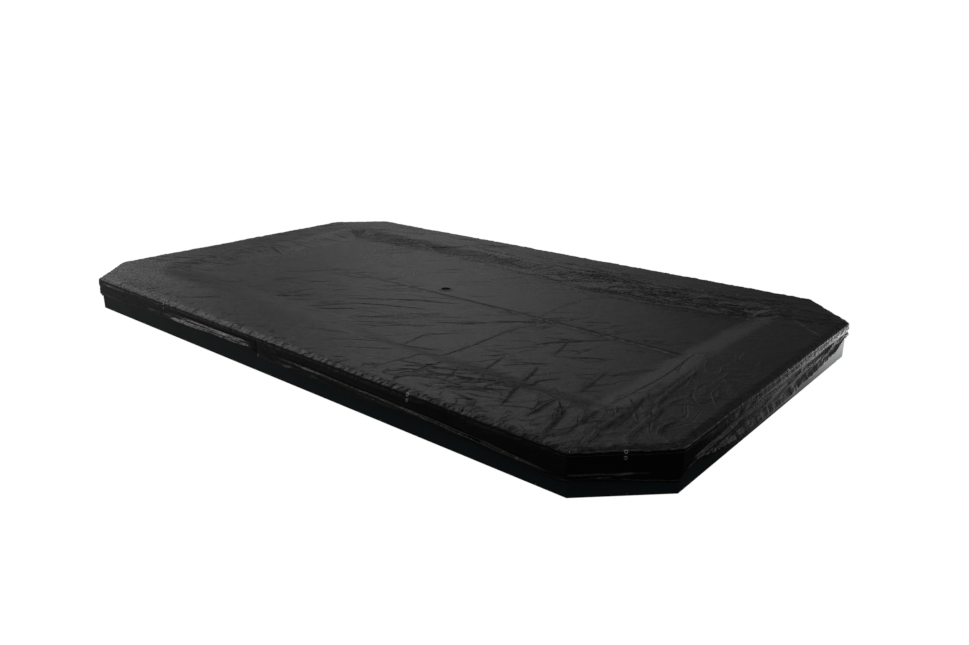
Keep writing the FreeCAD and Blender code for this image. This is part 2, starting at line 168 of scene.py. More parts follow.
# a mesh object from points and faces, with a flat map where one is given
def faceObject(name, vertices, quads, uv=None, smooth=True):
    mesh = bpy.data.meshes.new(name)
    mesh.vertices.add(len(vertices))
    mesh.vertices.foreach_set("co", np.asarray(vertices, np.float32).ravel())
    flat = np.asarray(quads, np.int32).ravel()
    mesh.loops.add(len(flat))
    mesh.loops.foreach_set("vertex_index", flat)
    mesh.polygons.add(len(quads))
    sides = np.asarray(quads).shape[1]
    mesh.polygons.foreach_set("loop_start", np.arange(0, len(flat), sides, dtype=np.int32))
    if uv is not None:
        layer = mesh.uv_layers.new(name="flat")
        layer.data.foreach_set("uv", np.asarray(uv, np.float32)[flat].ravel())
    mesh.polygons.foreach_set("use_smooth", np.full(len(quads), smooth))
    mesh.update(calc_edges=True)
    mesh.validate()
    piece = bpy.data.objects.new(name, mesh)
    bpy.context.scene.collection.objects.link(piece)
    return piece


# copies one small mesh to many places: each copy is its points turned by its own axes, then moved
def scatter(vertices, quads, places, axes):
    moved = np.einsum("nij,vj->nvi", axes, vertices) + places[:, None, :]
    shift = (np.arange(len(places)) * len(vertices))[:, None, None]
    return moved.reshape(-1, 3), (np.asarray(quads)[None] + shift).reshape(-1, np.asarray(quads).shape[1])


# a profile of (radius, height) turned round the upright axis
def turned(profile, turn):
    return np.stack([profile[:, 0][:, None] * np.cos(turn), profile[:, 0][:, None] * np.sin(turn),
                     np.repeat(profile[:, 1][:, None], len(turn), 1)], -1)


# a round tube: a ring of section points carried along a path, in the path's own axes
def tubePoints(path, across, up, radii, sides):
    turn = np.linspace(0.0, 2.0 * math.pi, sides, endpoint=False)
    ring = np.cos(turn)[None, :, None] * across[:, None, :] + np.sin(turn)[None, :, None] * up[:, None, :]
    return path[:, None, :] + ring * np.asarray(radii)[:, None, None]


# the clipped outline set in by an amount, its eight corners rounded, walked once round with even steps:
# gives place, outward direction, side number and distance along that side from its middle
def walkOutline(inset, radius, step):
    a, b = outline["halfLength"] - inset, outline["halfWidth"] - inset
    leg = outline["clipLeg"] - (2.0 - rootTwo) * inset
    corners = np.array([(-(a - leg), -b), (a - leg, -b), (a, -(b - leg)), (a, b - leg),
                        (a - leg, b), (-(a - leg), b), (-a, b - leg), (-a, -(b - leg))])
    trim = radius * mitre
    places, outs, sides, alongs = [], [], [], []
    for k in range(8):
        start, end = corners[k], corners[(k + 1) % 8]
        run = end - start
        length = np.hypot(*run)
        run = run / length
        out = np.array([run[1], -run[0]])
        count = max(2, int(round((length - 2 * trim) / step)))
        t = np.linspace(trim, length - trim, count, endpoint=False)
        places.append(start + run * t[:, None])
        outs.append(np.repeat(out[None], count, 0))
        sides.append(np.full(count, k))
        alongs.append(t - length / 2)
        centre = end - run * trim - out * radius
        bends = max(3, int(round(radius * math.pi / 4 / step)))
        turn = math.atan2(out[1], out[0]) + np.linspace(0.0, math.pi / 4, bends, endpoint=False)
        ray = np.stack([np.cos(turn), np.sin(turn)], 1)
        places.append(centre + ray * radius)
        outs.append(ray)
        sides.append(np.full(bends, k))
        alongs.append(np.full(bends, length / 2))
    return np.concatenate(places), np.concatenate(outs), np.concatenate(sides), np.concatenate(alongs)


# ---- node materials ----

def addNode(tree, kind, settings=None, **inputs):
    made = tree.nodes.new(kind)
    for name, value in (settings or {}).items():
        setattr(made, name, value)
    for name, value in inputs.items():
        socket = made.inputs[int(name[1:])] if name[0] == "i" and name[1:].isdigit() else made.inputs[name]
        if isinstance(value, bpy.types.NodeSocket):
            tree.links.new(value, socket)
        else:
            socket.default_value = value
    return made


def mathNode(tree, operation, first, second=0.0):
    return addNode(tree, "ShaderNodeMath", {"operation": operation}, i0=first, i1=second).outputs[0]


# maps a value from one span to another, held at both ends
def spanNode(tree, value, low, high, newLow, newHigh):
    return addNode(tree, "ShaderNodeMapRange", None, Value=value, **{
        "From Min": low, "From Max": high, "To Min": newLow, "To Max": newHigh}).outputs[0]


def noiseNode(tree, vector, scale, detail=3.0, roughness=0.5, distortion=0.0):
    return addNode(tree, "ShaderNodeTexNoise", None, Vector=vector, Scale=scale, Detail=detail,
                   Roughness=roughness, Distortion=distortion).outputs["Fac"]


def mixColour(tree, mask, first, second):
    made = tree.nodes.new("ShaderNodeMix")
    made.data_type = "RGBA"
    tree.links.new(mask, made.inputs["Factor"])
    for socket, value in ((made.inputs[6], first), (made.inputs[7], second)):
        if isinstance(value, bpy.types.NodeSocket):
            tree.links.new(value, socket)
        else:
            socket.default_value = (*value, 1.0)
    return made.outputs[2]


def newGroup(name, inputs, outputs):
    tree = bpy.data.node_groups.new(name, "ShaderNodeTree")
    for label, kind, value in inputs:
        socket = tree.interface.new_socket(label, in_out="INPUT", socket_type=kind)
        if value is not None:
            socket.default_value = value
    for label, kind in outputs:
        tree.interface.new_socket(label, in_out="OUTPUT", socket_type=kind)
    return tree, tree.nodes.new("NodeGroupInput"), tree.nodes.new("NodeGroupOutput")


def useGroup(tree, group, **inputs):
    made = addNode(tree, "ShaderNodeGroup", {"node_tree": group})
    for name, value in inputs.items():
        if isinstance(value, bpy.types.NodeSocket):
            tree.links.new(value, made.inputs[name])
        else:
            made.inputs[name].default_value = value
    return made


vectorSocket, floatSocket = "NodeSocketVector", "NodeSocketFloat"


# small crumples of a stiff film: thin ridges where three warped noises cross their middle, over soft swells
def crumpleGroup():
    tree, come, go = newGroup("crumple", [("Vector", vectorSocket, None), ("Scale", floatSocket, 9.0),
                                          ("Ridges", floatSocket, 1.0)],
                              [("Height", floatSocket), ("Swell", floatSocket)])
    vector, scale = come.outputs["Vector"], come.outputs["Scale"]
    swell = noiseNode(tree, vector, scale, 4.0, 0.55, 0.6)
    lines = 0.0
    for factor, share in ((1.0, 0.55), (2.3, 0.3), (5.0, 0.15)):
        fine = noiseNode(tree, vector, mathNode(tree, "MULTIPLY", scale, factor), 1.0, 0.4, 1.6)
        off = mathNode(tree, "ABSOLUTE", mathNode(tree, "SUBTRACT", fine, 0.5))
        ridge = mathNode(tree, "POWER", spanNode(tree, off, 0.0, 0.16, 1.0, 0.0), 2.2)
        lines = mathNode(tree, "ADD", mathNode(tree, "MULTIPLY", ridge, share), lines)
    patch = spanNode(tree, noiseNode(tree, vector, mathNode(tree, "MULTIPLY", scale, 0.22), 2.0), 0.38, 0.62,
                     0.25, 1.0)
    ridges = mathNode(tree, "MULTIPLY", mathNode(tree, "MULTIPLY", lines, patch), come.outputs["Ridges"])
    tree.links.new(mathNode(tree, "ADD", mathNode(tree, "MULTIPLY", swell, 0.5), ridges), go.inputs["Height"])
    tree.links.new(swell, go.inputs["Swell"])
    return tree


# plain weave: two sets of threads at right angles, each a rounded band
def weaveGroup():
    tree, come, go = newGroup("weave", [("Vector", vectorSocket, None), ("Threads", floatSocket, 300.0)],
                              [("Height", floatSocket)])
    parts = addNode(tree, "ShaderNodeSeparateXYZ", None, Vector=come.outputs["Vector"])
    bands = []
    for axis in ("X", "Y"):
        turn = mathNode(tree, "MULTIPLY", mathNode(tree, "MULTIPLY", parts.outputs[axis],
                                                   come.outputs["Threads"]), 6.2832)
        bands.append(mathNode(tree, "SINE", turn))
    over = mathNode(tree, "MULTIPLY", bands[0], bands[1])
    tree.links.new(spanNode(tree, over, -1.0, 1.0, 0.0, 1.0), go.inputs["Height"])
    return tree


# dust and dull patches: soft clouds
def dustGroup():
    tree, come, go = newGroup("dust", [("Vector", vectorSocket, None), ("Scale", floatSocket, 2.0)],
                              [("Mask", floatSocket)])
    clouds = noiseNode(tree, come.outputs["Vector"], come.outputs["Scale"], 5.0, 0.6, 0.3)
    tree.links.new(spanNode(tree, clouds, 0.42, 0.68, 0.0, 1.0), go.inputs["Mask"])
    return tree


crumple, weave, dust = crumpleGroup(), weaveGroup(), dustGroup()


def newMaterial(name, **constants):
    material = bpy.data.materials.new(name)
    material.use_nodes = True
    tree = material.node_tree
    shader = tree.nodes["Principled BSDF"]
    for label, value in constants.items():
        shader.inputs[label].default_value = value
    places = tree.nodes.new("ShaderNodeTexCoord")
    return material, tree, shader, places


def bumpInto(tree, shader, height, distance, strength=1.0, under=None):
    made = addNode(tree, "ShaderNodeBump", None, Height=height, Distance=distance, Strength=strength)
    if under is not None:
        tree.links.new(under, made.inputs["Normal"])
    tree.links.new(made.outputs["Normal"], shader.inputs["Normal"])
    return made.outputs["Normal"]


# ---- finishes ----
coverFinish = {
    "colour": (0.0062, 0.0060, 0.0058),
    "dustColour": (0.0125, 0.0122, 0.0120),
    "sheen": (0.19, 0.30),     # roughness, clean and dull
    "level": 0.42,
    "grainTurn": 40.5,         # degrees: the way the fine wrinkles run
    "grain": (8.0, 75.0, 40.0),
    "grainDepth": 0.0042,
    "fineGrain": (20.0, 110.0, 70.0),
    "fineDepth": 0.0011,
    "crumpleSize": 16.0,
    "crumpleDepth": 0.0018,
    "creaseDepth": 0.0065,
    "threads": 420.0,
    "threadDepth": 0.000003,
}


# long fine wrinkles that all run one way: noise read in a turned, stretched space
def grainNode(tree, at, turn, stretch, detail):
    turned = addNode(tree, "ShaderNodeMapping", None, Vector=at, Rotation=(0.0, 0.0, -math.radians(turn)))
    long = addNode(tree, "ShaderNodeMapping", None, Vector=turned.outputs[0], Scale=stretch)
    return noiseNode(tree, long.outputs[0], 1.0, detail, 0.62, 0.35)


drawnCrease = {"width": 0.0032, "valleyAt": 0.0065, "valleyWidth": 0.0045, "valleyShare": 0.7}


# coated film over a fabric: weave, one-way grain, crumples where the mask says, and the sharp creases
# whose signed distance d the piece carries: strength * (exp(-(d/3.2mm)^2) - 0.7 exp(-((d-6.5mm)/4.5mm)^2))
def coverMaterial(name, values, creased, ridges=1.0):
    material, tree, shader, places = newMaterial(name, **{"Specular IOR Level": values["level"]})
    at = places.outputs["Object"]
    film = useGroup(tree, crumple, Vector=at, Scale=values["crumpleSize"], Ridges=ridges)
    grime = useGroup(tree, dust, Vector=at, Scale=1.4)
    threads = useGroup(tree, weave, Vector=places.outputs["UV"], Threads=values["threads"])
    dirt = mathNode(tree, "MULTIPLY", grime.outputs["Mask"], 0.7)
    tree.links.new(mixColour(tree, dirt, values["colour"], values["dustColour"]), shader.inputs["Base Color"])
    tree.links.new(spanNode(tree, mathNode(tree, "ADD", dirt,
                                           mathNode(tree, "MULTIPLY", film.outputs["Swell"], 0.3)),
                            0.1, 0.9, *values["sheen"]), shader.inputs["Roughness"])
    long = grainNode(tree, at, values["grainTurn"], values["grain"], 4.0)
    fine = grainNode(tree, at, values["grainTurn"] + 7.0, values["fineGrain"], 2.0)
    last = bumpInto(tree, shader, threads.outputs["Height"], values["threadDepth"])
    last = bumpInto(tree, shader, fine, values["fineDepth"], 1.0, last)
    last = bumpInto(tree, shader, long, values["grainDepth"], 1.0, last)
    if creased:
        lively = addNode(tree, "ShaderNodeAttribute", {"attribute_name": "lively"}).outputs["Fac"]
        last = bumpInto(tree, shader, mathNode(tree, "MULTIPLY", film.outputs["Height"], lively),
                        values["crumpleDepth"], 1.0, last)
        gap = addNode(tree, "ShaderNodeAttribute", {"attribute_name": "creaseGap"}).outputs["Fac"]
        strength = addNode(tree, "ShaderNodeAttribute", {"attribute_name": "creaseStrength"}).outputs["Fac"]

        def hump(shift, width):
            off = mathNode(tree, "DIVIDE", mathNode(tree, "SUBTRACT", gap, shift), width)
            return mathNode(tree, "EXPONENT", mathNode(tree, "MULTIPLY",
                                                       mathNode(tree, "MULTIPLY", off, off), -1.0))

        valley = mathNode(tree, "MULTIPLY", hump(drawnCrease["valleyAt"], drawnCrease["valleyWidth"]),
                          drawnCrease["valleyShare"])
        ridge = mathNode(tree, "SUBTRACT", hump(0.0, drawnCrease["width"]), valley)
        bumpInto(tree, shader, mathNode(tree, "MULTIPLY", ridge, strength), values["creaseDepth"], 1.0, last)
    else:
        bumpInto(tree, shader, film.outputs["Height"], values["crumpleDepth"], 1.0, last)
    return material


topMaterial = coverMaterial("coverSheet", coverFinish, True)
plainMaterial = coverMaterial("coverPatch", coverFinish, False, 0.3)
skirtMaterial = coverMaterial("coverSkirt", dict(
    coverFinish, colour=(0.0040, 0.0031, 0.0026), dustColour=(0.0070, 0.0060, 0.0054), sheen=(0.13, 0.24),
    level=0.45,
    grain=(6.0, 6.0, 34.0), grainDepth=0.0022, fineGrain=(24.0, 24.0, 120.0), fineDepth=0.0007, grainTurn=0.0,
    crumpleSize=16.0, crumpleDepth=0.0014), False, 1.0)

wallFinish = {"colour": (0.015, 0.026, 0.028), "dustColour": (0.024, 0.034, 0.036), "ripple": 0.0030}


def wallMaterial():
    material, tree, shader, places = newMaterial("wallPaint",
                                                 **{"Specular IOR Level": 0.3, "Coat Weight": 0.0})
    at = places.outputs["Object"]
    grime = useGroup(tree, dust, Vector=at, Scale=2.2)
    low = spanNode(tree, addNode(tree, "ShaderNodeSeparateXYZ", None, Vector=at).outputs["Z"], 0.0, 0.05,
                   0.6, 0.0)
    dirt = mathNode(tree, "MULTIPLY", mathNode(tree, "ADD", grime.outputs["Mask"], low), 0.35)
    tree.links.new(mixColour(tree, dirt, wallFinish["colour"], wallFinish["dustColour"]),
                   shader.inputs["Base Color"])
    tree.links.new(spanNode(tree, dirt, 0.0, 0.6, 0.24, 0.42), shader.inputs["Roughness"])
    orange = noiseNode(tree, at, 420.0, 2.0, 0.5)
    swell = noiseNode(tree, at, 3.0, 2.0, 0.4)
    fine = bumpInto(tree, shader, orange, 0.00015)
    bumpInto(tree, shader, swell, wallFinish["ripple"] * 4, 1.0, fine)
    return material


wallPaint = wallMaterial()


# plated or galvanised metal: base tone broken by crystal patches, with fine directionless scratches
def metalMaterial(name, light, dark, roughness, patch, bump=0.0002):
    material, tree, shader, places = newMaterial(name, Metallic=1.0)
    at = places.outputs["Object"]
    cells = addNode(tree, "ShaderNodeTexVoronoi", None, Vector=at, Scale=patch)
    tone = addNode(tree, "ShaderNodeSeparateColor", None, Color=cells.outputs["Color"]).outputs[0]
    grime = useGroup(tree, dust, Vector=at, Scale=6.0)
    mask = mathNode(tree, "ADD", mathNode(tree, "MULTIPLY", tone, 0.6),
                    mathNode(tree, "MULTIPLY", grime.outputs["Mask"], 0.4))
    tree.links.new(mixColour(tree, mask, light, dark), shader.inputs["Base Color"])
    tree.links.new(spanNode(tree, mask, 0.0, 1.0, *roughness), shader.inputs["Roughness"])
    bumpInto(tree, shader, noiseNode(tree, at, 900.0, 3.0, 0.6), bump)
    return material


galvanised = metalMaterial("galvanisedSteel", (0.46, 0.47, 0.48), (0.34, 0.35, 0.36), (0.32, 0.5), 90.0)
brightZinc = metalMaterial("brightZinc", (0.72, 0.73, 0.75), (0.55, 0.56, 0.58), (0.2, 0.34), 260.0, 0.0001)
eyeletMetal = metalMaterial("eyeletMetal", (0.66, 0.66, 0.65), (0.42, 0.41, 0.40), (0.24, 0.42), 300.0,
                            0.0001)


# spring wire: coils as close rings along the spring, from the piece's own flat map, with painted shade in the
# grooves between the turns
def springMaterial():
    material, tree, shader, places = newMaterial("springWire", Metallic=1.0)
    parts = addNode(tree, "ShaderNodeSeparateXYZ", None, Vector=places.outputs["UV"])
    turns = mathNode(tree, "MULTIPLY", parts.outputs["Y"], 2.0 * math.pi / 0.0028)
    lean = mathNode(tree, "MULTIPLY", parts.outputs["X"], 2.0 * math.pi)
    coilRidgesAndShade = mathNode(tree, "POWER", mathNode(tree, "ABSOLUTE", mathNode(tree, "SINE", mathNode(
        tree, "MULTIPLY", mathNode(tree, "ADD", turns, lean), 0.5))), 0.6)
    grime = useGroup(tree, dust, Vector=places.outputs["Object"], Scale=9.0)
    # painted shade: the grooves between the turns are painted near black, and the crowns keep the steel's
    # colour
    tree.links.new(mixColour(tree, coilRidgesAndShade, (0.12, 0.12, 0.13), (0.62, 0.63, 0.65)), shader.inputs["Base Color"])
    tree.links.new(spanNode(tree, grime.outputs["Mask"], 0.0, 1.0, 0.26, 0.42), shader.inputs["Roughness"])
    bumpInto(tree, shader, coilRidgesAndShade, 0.0012)
    return material


springWire = springMaterial()


# cloth: weave on the flat map, with faded and dusty patches, and painted shade in the weave: the raised
# crossings lighter, the hollows darker
def clothMaterial(name, colour, faded, threads, depth, roughness, sheen=0.0, level=0.3):
    material, tree, shader, places = newMaterial(name, **{"Specular IOR Level": level, "Sheen Weight": sheen})
    grime = useGroup(tree, dust, Vector=places.outputs["Object"], Scale=1.8)
    strands = useGroup(tree, weave, Vector=places.outputs["UV"], Threads=threads)
    # dust patches plus painted shade from the weave's height: lighter on the raised crossings, darker in the
    # hollows
    dirt = mathNode(tree, "MULTIPLY", mathNode(tree, "ADD", grime.outputs["Mask"], mathNode(
        tree, "MULTIPLY", strands.outputs["Height"], 0.35)), 0.7)
    tree.links.new(mixColour(tree, dirt, colour, faded), shader.inputs["Base Color"])
    tree.links.new(spanNode(tree, dirt, 0.0, 1.0, *roughness), shader.inputs["Roughness"])
    bumpInto(tree, shader, strands.outputs["Height"], depth)
    return material


matWeave = clothMaterial("matWeave", (0.010, 0.010, 0.011), (0.024, 0.024, 0.025), 260.0, 0.0006,
                         (0.42, 0.6), 0.0, 0.45)
webbing = clothMaterial("webbing", (0.013, 0.013, 0.014), (0.03, 0.03, 0.03), 380.0, 0.0005, (0.6, 0.8), 0.15)
elasticCloth = clothMaterial("elasticBraid", (0.012, 0.012, 0.012), (0.03, 0.03, 0.03), 500.0, 0.0005,
                             (0.55, 0.75), 0.1)
drainCloth = clothMaterial("drainMesh", (0.003, 0.003, 0.003), (0.010, 0.010, 0.010), 330.0, 0.0010,
                           (0.7, 0.9))
threadCloth = clothMaterial("sewingThread", (0.03, 0.03, 0.03), (0.06, 0.06, 0.06), 900.0, 0.0002, (0.5, 0.7))


def vinylMaterial():
    material, tree, shader, places = newMaterial("padVinyl", **{"Specular IOR Level": 0.45})
    at = places.outputs["Object"]
    grime = useGroup(tree, dust, Vector=at, Scale=2.6)
    film = useGroup(tree, crumple, Vector=at, Scale=11.0, Ridges=0.5)
    strands = useGroup(tree, weave, Vector=places.outputs["UV"], Threads=500.0)
    dirt = mathNode(tree, "MULTIPLY", grime.outputs["Mask"], 0.6)
    tree.links.new(mixColour(tree, dirt, (0.030, 0.032, 0.034), (0.060, 0.062, 0.064)),
                   shader.inputs["Base Color"])
    tree.links.new(spanNode(tree, dirt, 0.0, 1.0, 0.36, 0.55), shader.inputs["Roughness"])
    fine = bumpInto(tree, shader, strands.outputs["Height"], 0.0002)
    bumpInto(tree, shader, film.outputs["Height"], 0.0016, 1.0, fine)
    return material


padVinyl = vinylMaterial()
print("finishes made")


def finish(piece, material, body, slot, *replaced):
    piece.data.materials.clear()
    piece.data.materials.append(material)
    if body:
        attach(piece, body)
    if replaced:
        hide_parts(*replaced)
    return piece


for name, made in nodes.items():
    if name.startswith("wall_screws") or name in ("ring_bolts", "ring_nuts", "mat_eyes"):
        chosen = brightZinc
    elif name.startswith("wall_"):
        chosen = wallPaint
    elif name == "drain_mesh":
        chosen = drainCloth
    elif name.startswith(("ring_", "posts_", "foot_")):
        chosen = galvanised
    else:
        continue
    made.data.materials.clear()
    made.data.materials.append(chosen)


# ---- the cover's upper sheet ----
coverShape = {
    "rimHeight": outline["top"] + 0.0100,
    "troughHeight": 0.1925,
    "leastHeight": 0.1886,      # never into the mat below
    "slopeStart": 0.378,        # inset where the pads end and the sheet starts down
    "slopeEnd": 0.630,
    "gentle": 0.22,             # the slope is this much longer along the front left
    "step": (0.0115, 0.0058),   # grid spacing, far end and near end
    "edgeWide": 0.050,          # the outer edge rounds over by this much
    "edgeDrop": 0.0165,
    "drainAt": (-0.060, 0.140),
    "drainRadius": 0.040,
    "padClear": 0.2346,         # least height over the pads on the rim
    "softHold": 0.0016,         # how softly the least height is held
    "mostOver": 0.0155,         # the rim goes no further over the outline's top
    "swell": 0.0018,            # swells of the middle, and what the rim has more
    "rimSwell": 0.0016,
    "smallSwell": 0.0010,
    "packRidge": 0.0022,        # ridges along the packing folds, in patches, and their grain
    "packGrain": 0.0007,
    "crumple": 0.0030,          # large and small ridges where the film is crumpled
    "smallCrumple": 0.0005,
    "seamRise": 0.0034,         # the centre seam, and the groove beside it
    "seamGroove": 0.0042,
    "crinkle": (0.0036, 0.0030),    # the two noises of the gathered edge
}

# placed creases, each a run of places (x, y), then its width and height:
# packing folds, pulled lines and the pinches that come in from the corners
placedCreases = [
    ([(0.83, -1.40), (0.88, -1.20), (0.91, -1.01), (0.93, -0.68), (0.92, -0.24)], 0.005, 1.0),
    ([(-0.93, -0.92), (-0.89, -0.66), (-0.83, -0.44)], 0.006, 0.9),
    ([(0.92, -0.20), (0.88, 0.35), (0.90, 0.80)], 0.005, 0.3),
    ([(-0.44, -0.50), (-0.1, -0.26), (0.27, -0.08)], 0.009, -1.0),
    ([(-0.34, -0.57), (-0.1, -0.44), (0.18, -0.33)], 0.009, -1.1),
    ([(-0.43, -0.83), (-0.2, -0.62)], 0.009, -0.9),
    ([(-0.09, -0.76), (0.1, -0.63)], 0.008, -0.9),
    ([(-0.43, -0.94), (-0.31, -0.89)], 0.008, -0.8),
    ([(0.59, -0.94), (0.57, -0.74), (0.63, -0.66)], 0.008, 1.0),
    ([(0.57, -0.74), (0.70, -0.55)], 0.006, 0.6),
    ([(0.44, -0.50), (0.68, -0.33)], 0.007, -1.0),
    ([(0.72, -0.23), (1.06, 0.00)], 0.007, -1.0),
    ([(0.75, -0.21), (1.04, 0.03)], 0.006, -0.7),
    ([(1.13, -1.26), (1.35, -1.20), (1.56, -1.08)], 0.010, -1.4),
    ([(1.32, -1.36), (1.62, -1.18)], 0.009, -1.2),
    ([(1.41, -1.39), (1.60, -1.39)], 0.008, -1.0),
    ([(1.20, -1.30), (1.42, -1.29)], 0.008, -0.8),
    ([(1.26, -0.97), (1.20, -0.70)], 0.006, 0.9),
    ([(1.53, -0.95), (1.46, -0.72)], 0.008, 1.1),
    ([(1.61, -1.05), (1.58, -0.88), (1.65, -0.77)], 0.008, 1.0),
    ([(1.70, -1.33), (1.61, -1.07)], 0.008, 1.2),
    ([(1.88, -1.36), (1.87, -1.11)], 0.010, 1.2),
    ([(1.89, -1.12), (2.00, -1.24)], 0.008, 0.9),
    ([(2.05, -1.45), (1.98, -1.19)], 0.010, 1.4),
    ([(2.13, -1.42), (2.10, -1.11)], 0.010, 1.2),
    ([(2.26, -1.39), (2.23, -1.26), (2.22, -1.11), (2.20, -0.81)], 0.013, 1.5),
    ([(2.37, -1.26), (2.35, -1.06), (2.33, -0.86)], 0.013, 1.3),
    ([(2.31, -0.88), (2.27, -0.78), (2.25, -0.49), (2.23, -0.24)], 0.010, 1.2),
    ([(2.46, -1.14), (2.43, -1.05), (2.45, -0.94)], 0.011, 1.2),
    ([(1.85, -0.88), (1.79, -0.50)], 0.006, 0.6),
    ([(1.42, -0.52), (1.32, -0.17)], 0.006, 0.7),
    ([(1.21, -0.42), (1.37, -0.21), (1.58, 0.03)], 0.009, -1.1),
    ([(1.05, 0.03), (1.35, 0.015), (1.56, 0.03)], 0.012, -1.3),
    ([(1.62, -1.10), (1.72, -1.07), (1.87, -1.10)], 0.010, 1.0),
    ([(2.13, -0.84), (2.31, -1.07)], 0.008, 0.9),
    ([(2.26, -1.22), (2.25, -1.06), (2.19, -0.79)], 0.008, 1.0),
    ([(2.08, -1.00), (2.11, -0.45), (2.07, 0.02)], 0.007, 0.8),
    ([(0.95, 0.93), (1.60, 1.12), (2.30, 1.42)], 0.026, 1.6),
    ([(0.60, 1.02), (1.30, 1.13), (1.90, 1.16)], 0.022, -1.8),
    ([(1.05, 1.00), (1.60, 1.16), (2.20, 1.24)], 0.020, 1.6),
    ([(0.20, 1.12), (0.70, 1.12), (1.10, 1.08)], 0.020, -1.4),
    ([(-0.75, 1.20), (-0.3, 1.17), (0.10, 1.12)], 0.018, -1.2),
    ([(1.30, 1.24), (1.9, 1.17), (2.38, 1.06)], 0.018, 1.4),
    ([(2.30, 0.95), (2.55, 0.72)], 0.014, 1.2),
    ([(2.12, -0.02), (2.57, -0.05)], 0.010, 0.7),
]


# random creases of one family: even places in a box, directions about a mean, and spans of length, width
# and height
def creaseFamily(seed, count, box, turn, spread, lengths, widths, heights, bow=0.12):
    pick = np.random.default_rng(seed)
    made = []
    for _ in range(count):
        x, y = pick.uniform(box[0], box[2]), pick.uniform(box[1], box[3])
        way, half = math.radians(pick.normal(turn, spread)), pick.uniform(*lengths) / 2
        sag = pick.normal(0.0, bow) * half
        dx, dy = math.cos(way) * half, math.sin(way) * half
        line = [(x - dx, y - dy), (x - dy / half * sag, y + dx / half * sag), (x + dx, y + dy)]
        made.append((line, pick.uniform(*widths), pick.uniform(*heights) * pick.choice([1.0, -1.0])))
    return made


# placed creases that start near the right front corner stand out more
def creaseGain(line):
    return 2.6 if line[0][0] > 1.5 and line[0][1] < -0.2 else 1.5


creases = [(line, width, height * creaseGain(line)) for line, width, height in placedCreases]
# families of random creases: seed, count, box, direction, its spread, the spans and the bow
creaseFamilies = [
    (11, 110, (-2.2, -1.0, 1.4, 0.9), 40, 9, (0.12, 0.5), (0.004, 0.008), (0.10, 0.5), 0.05),
    (12, 70, (-1.6, -1.3, 0.9, 0.1), 38, 9, (0.12, 0.5), (0.005, 0.009), (0.3, 0.8), 0.06),
    (13, 50, (1.05, -1.48, 2.30, -0.95), 80, 35, (0.08, 0.24), (0.005, 0.010), (0.4, 1.0), 0.3),
    (14, 34, (2.05, -1.2, 2.48, 0.15), 88, 22, (0.14, 0.34), (0.006, 0.011), (0.3, 0.7), 0.25),
    (15, 80, (-2.0, -1.50, 2.1, -1.38), 30, 50, (0.03, 0.10), (0.004, 0.008), (0.4, 1.0), 0.3),
    (16, 60, (0.6, 0.75, 2.4, 1.35), 10, 10, (0.3, 0.9), (0.012, 0.022), (0.6, 2.0), 0.1),
    (17, 60, (-2.0, 0.9, 1.0, 1.4), 8, 18, (0.15, 0.5), (0.010, 0.016), (0.4, 1.4), 0.1),
    (18, 60, (-2.5, -1.0, -2.1, 1.1), 60, 25, (0.1, 0.3), (0.006, 0.012), (0.3, 0.8), 0.1),
    (19, 60, (0.9, -0.9, 2.1, 0.3), 52, 22, (0.08, 0.35), (0.004, 0.008), (0.4, 1.0), 0.15),
    (20, 40, (0.95, -1.40, 1.6, -0.95), 30, 14, (0.08, 0.3), (0.005, 0.009), (0.5, 1.1), 0.1),
]
for family in creaseFamilies:
    creases += creaseFamily(*family)


# every crease near a place raises the sheet by 2.6 mm * height * (exp(-(d/w)^2) - 0.4 exp(-((d-2w)/1.4w)^2)),
# w being its width or 8.5 mm if that is more. The signed distance and strength of the nearest crease are
# kept, so that the finish can draw it sharper than the mesh
def addCreases(x, y, z, runs):
    gap, strength = np.full(len(x), 0.05), np.zeros(len(x))
    nearest = np.full(len(x), 1.0)
    for number, (line, width, height) in enumerate(runs):
        line = np.array(line)
        reach = 4.0 * width + 0.02
        near = np.flatnonzero((x > line[:, 0].min() - reach) & (x < line[:, 0].max() + reach)
                              & (y > line[:, 1].min() - reach) & (y < line[:, 1].max() + reach))
        if not len(near):
            continue
        px, py = x[near], y[near]
        lengths = np.hypot(*np.diff(line, axis=0).T)
        starts = np.concatenate([[0.0], np.cumsum(lengths)])
        best = np.full(len(near), 9.0)
        along = np.zeros(len(near))
        for i in range(len(lengths)):
            ux, uy = (line[i + 1] - line[i]) / lengths[i]
            t = np.clip((px - line[i, 0]) * ux + (py - line[i, 1]) * uy, 0.0, lengths[i])
            off = (py - line[i, 1]) * ux - (px - line[i, 0]) * uy
            whole = (np.hypot(px - line[i, 0] - ux * t, py - line[i, 1] - uy * t)
                     * np.where(off < 0, -1.0, 1.0))
            nearer = np.abs(whole) < np.abs(best)
            best[nearer], along[nearer] = whole[nearer], (starts[i] + t)[nearer]
        d = best - softNoise(along * 14.0, along * 0.0 + number * 1.7, 5) * 0.004
        t = along / starts[-1]
        fade = np.clip(np.sin(math.pi * np.clip(t, 0.02, 0.98)), 0.0, 1.0) ** 0.6
        fade = fade * (0.65 + 0.35 * softNoise(along * 22.0, along * 0.0 + number * 3.1, 6))
        wide = max(width, 0.0085)
        z[near] += 0.0026 * height * fade * (np.exp(-((d / wide) ** 2))
                                             - 0.4 * np.exp(-(((d - 2.0 * wide) / (1.4 * wide)) ** 2)))
        closer = np.abs(d) < nearest[near]
        where = near[closer]
        nearest[where] = np.abs(d[closer])
        gap[where] = d[closer]
        strength[where] = (height * fade * (1.0 - ease(0.009, 0.017, np.abs(d)))
                           * min(1.0, 0.011 / width))[closer]
    return z, gap, strength


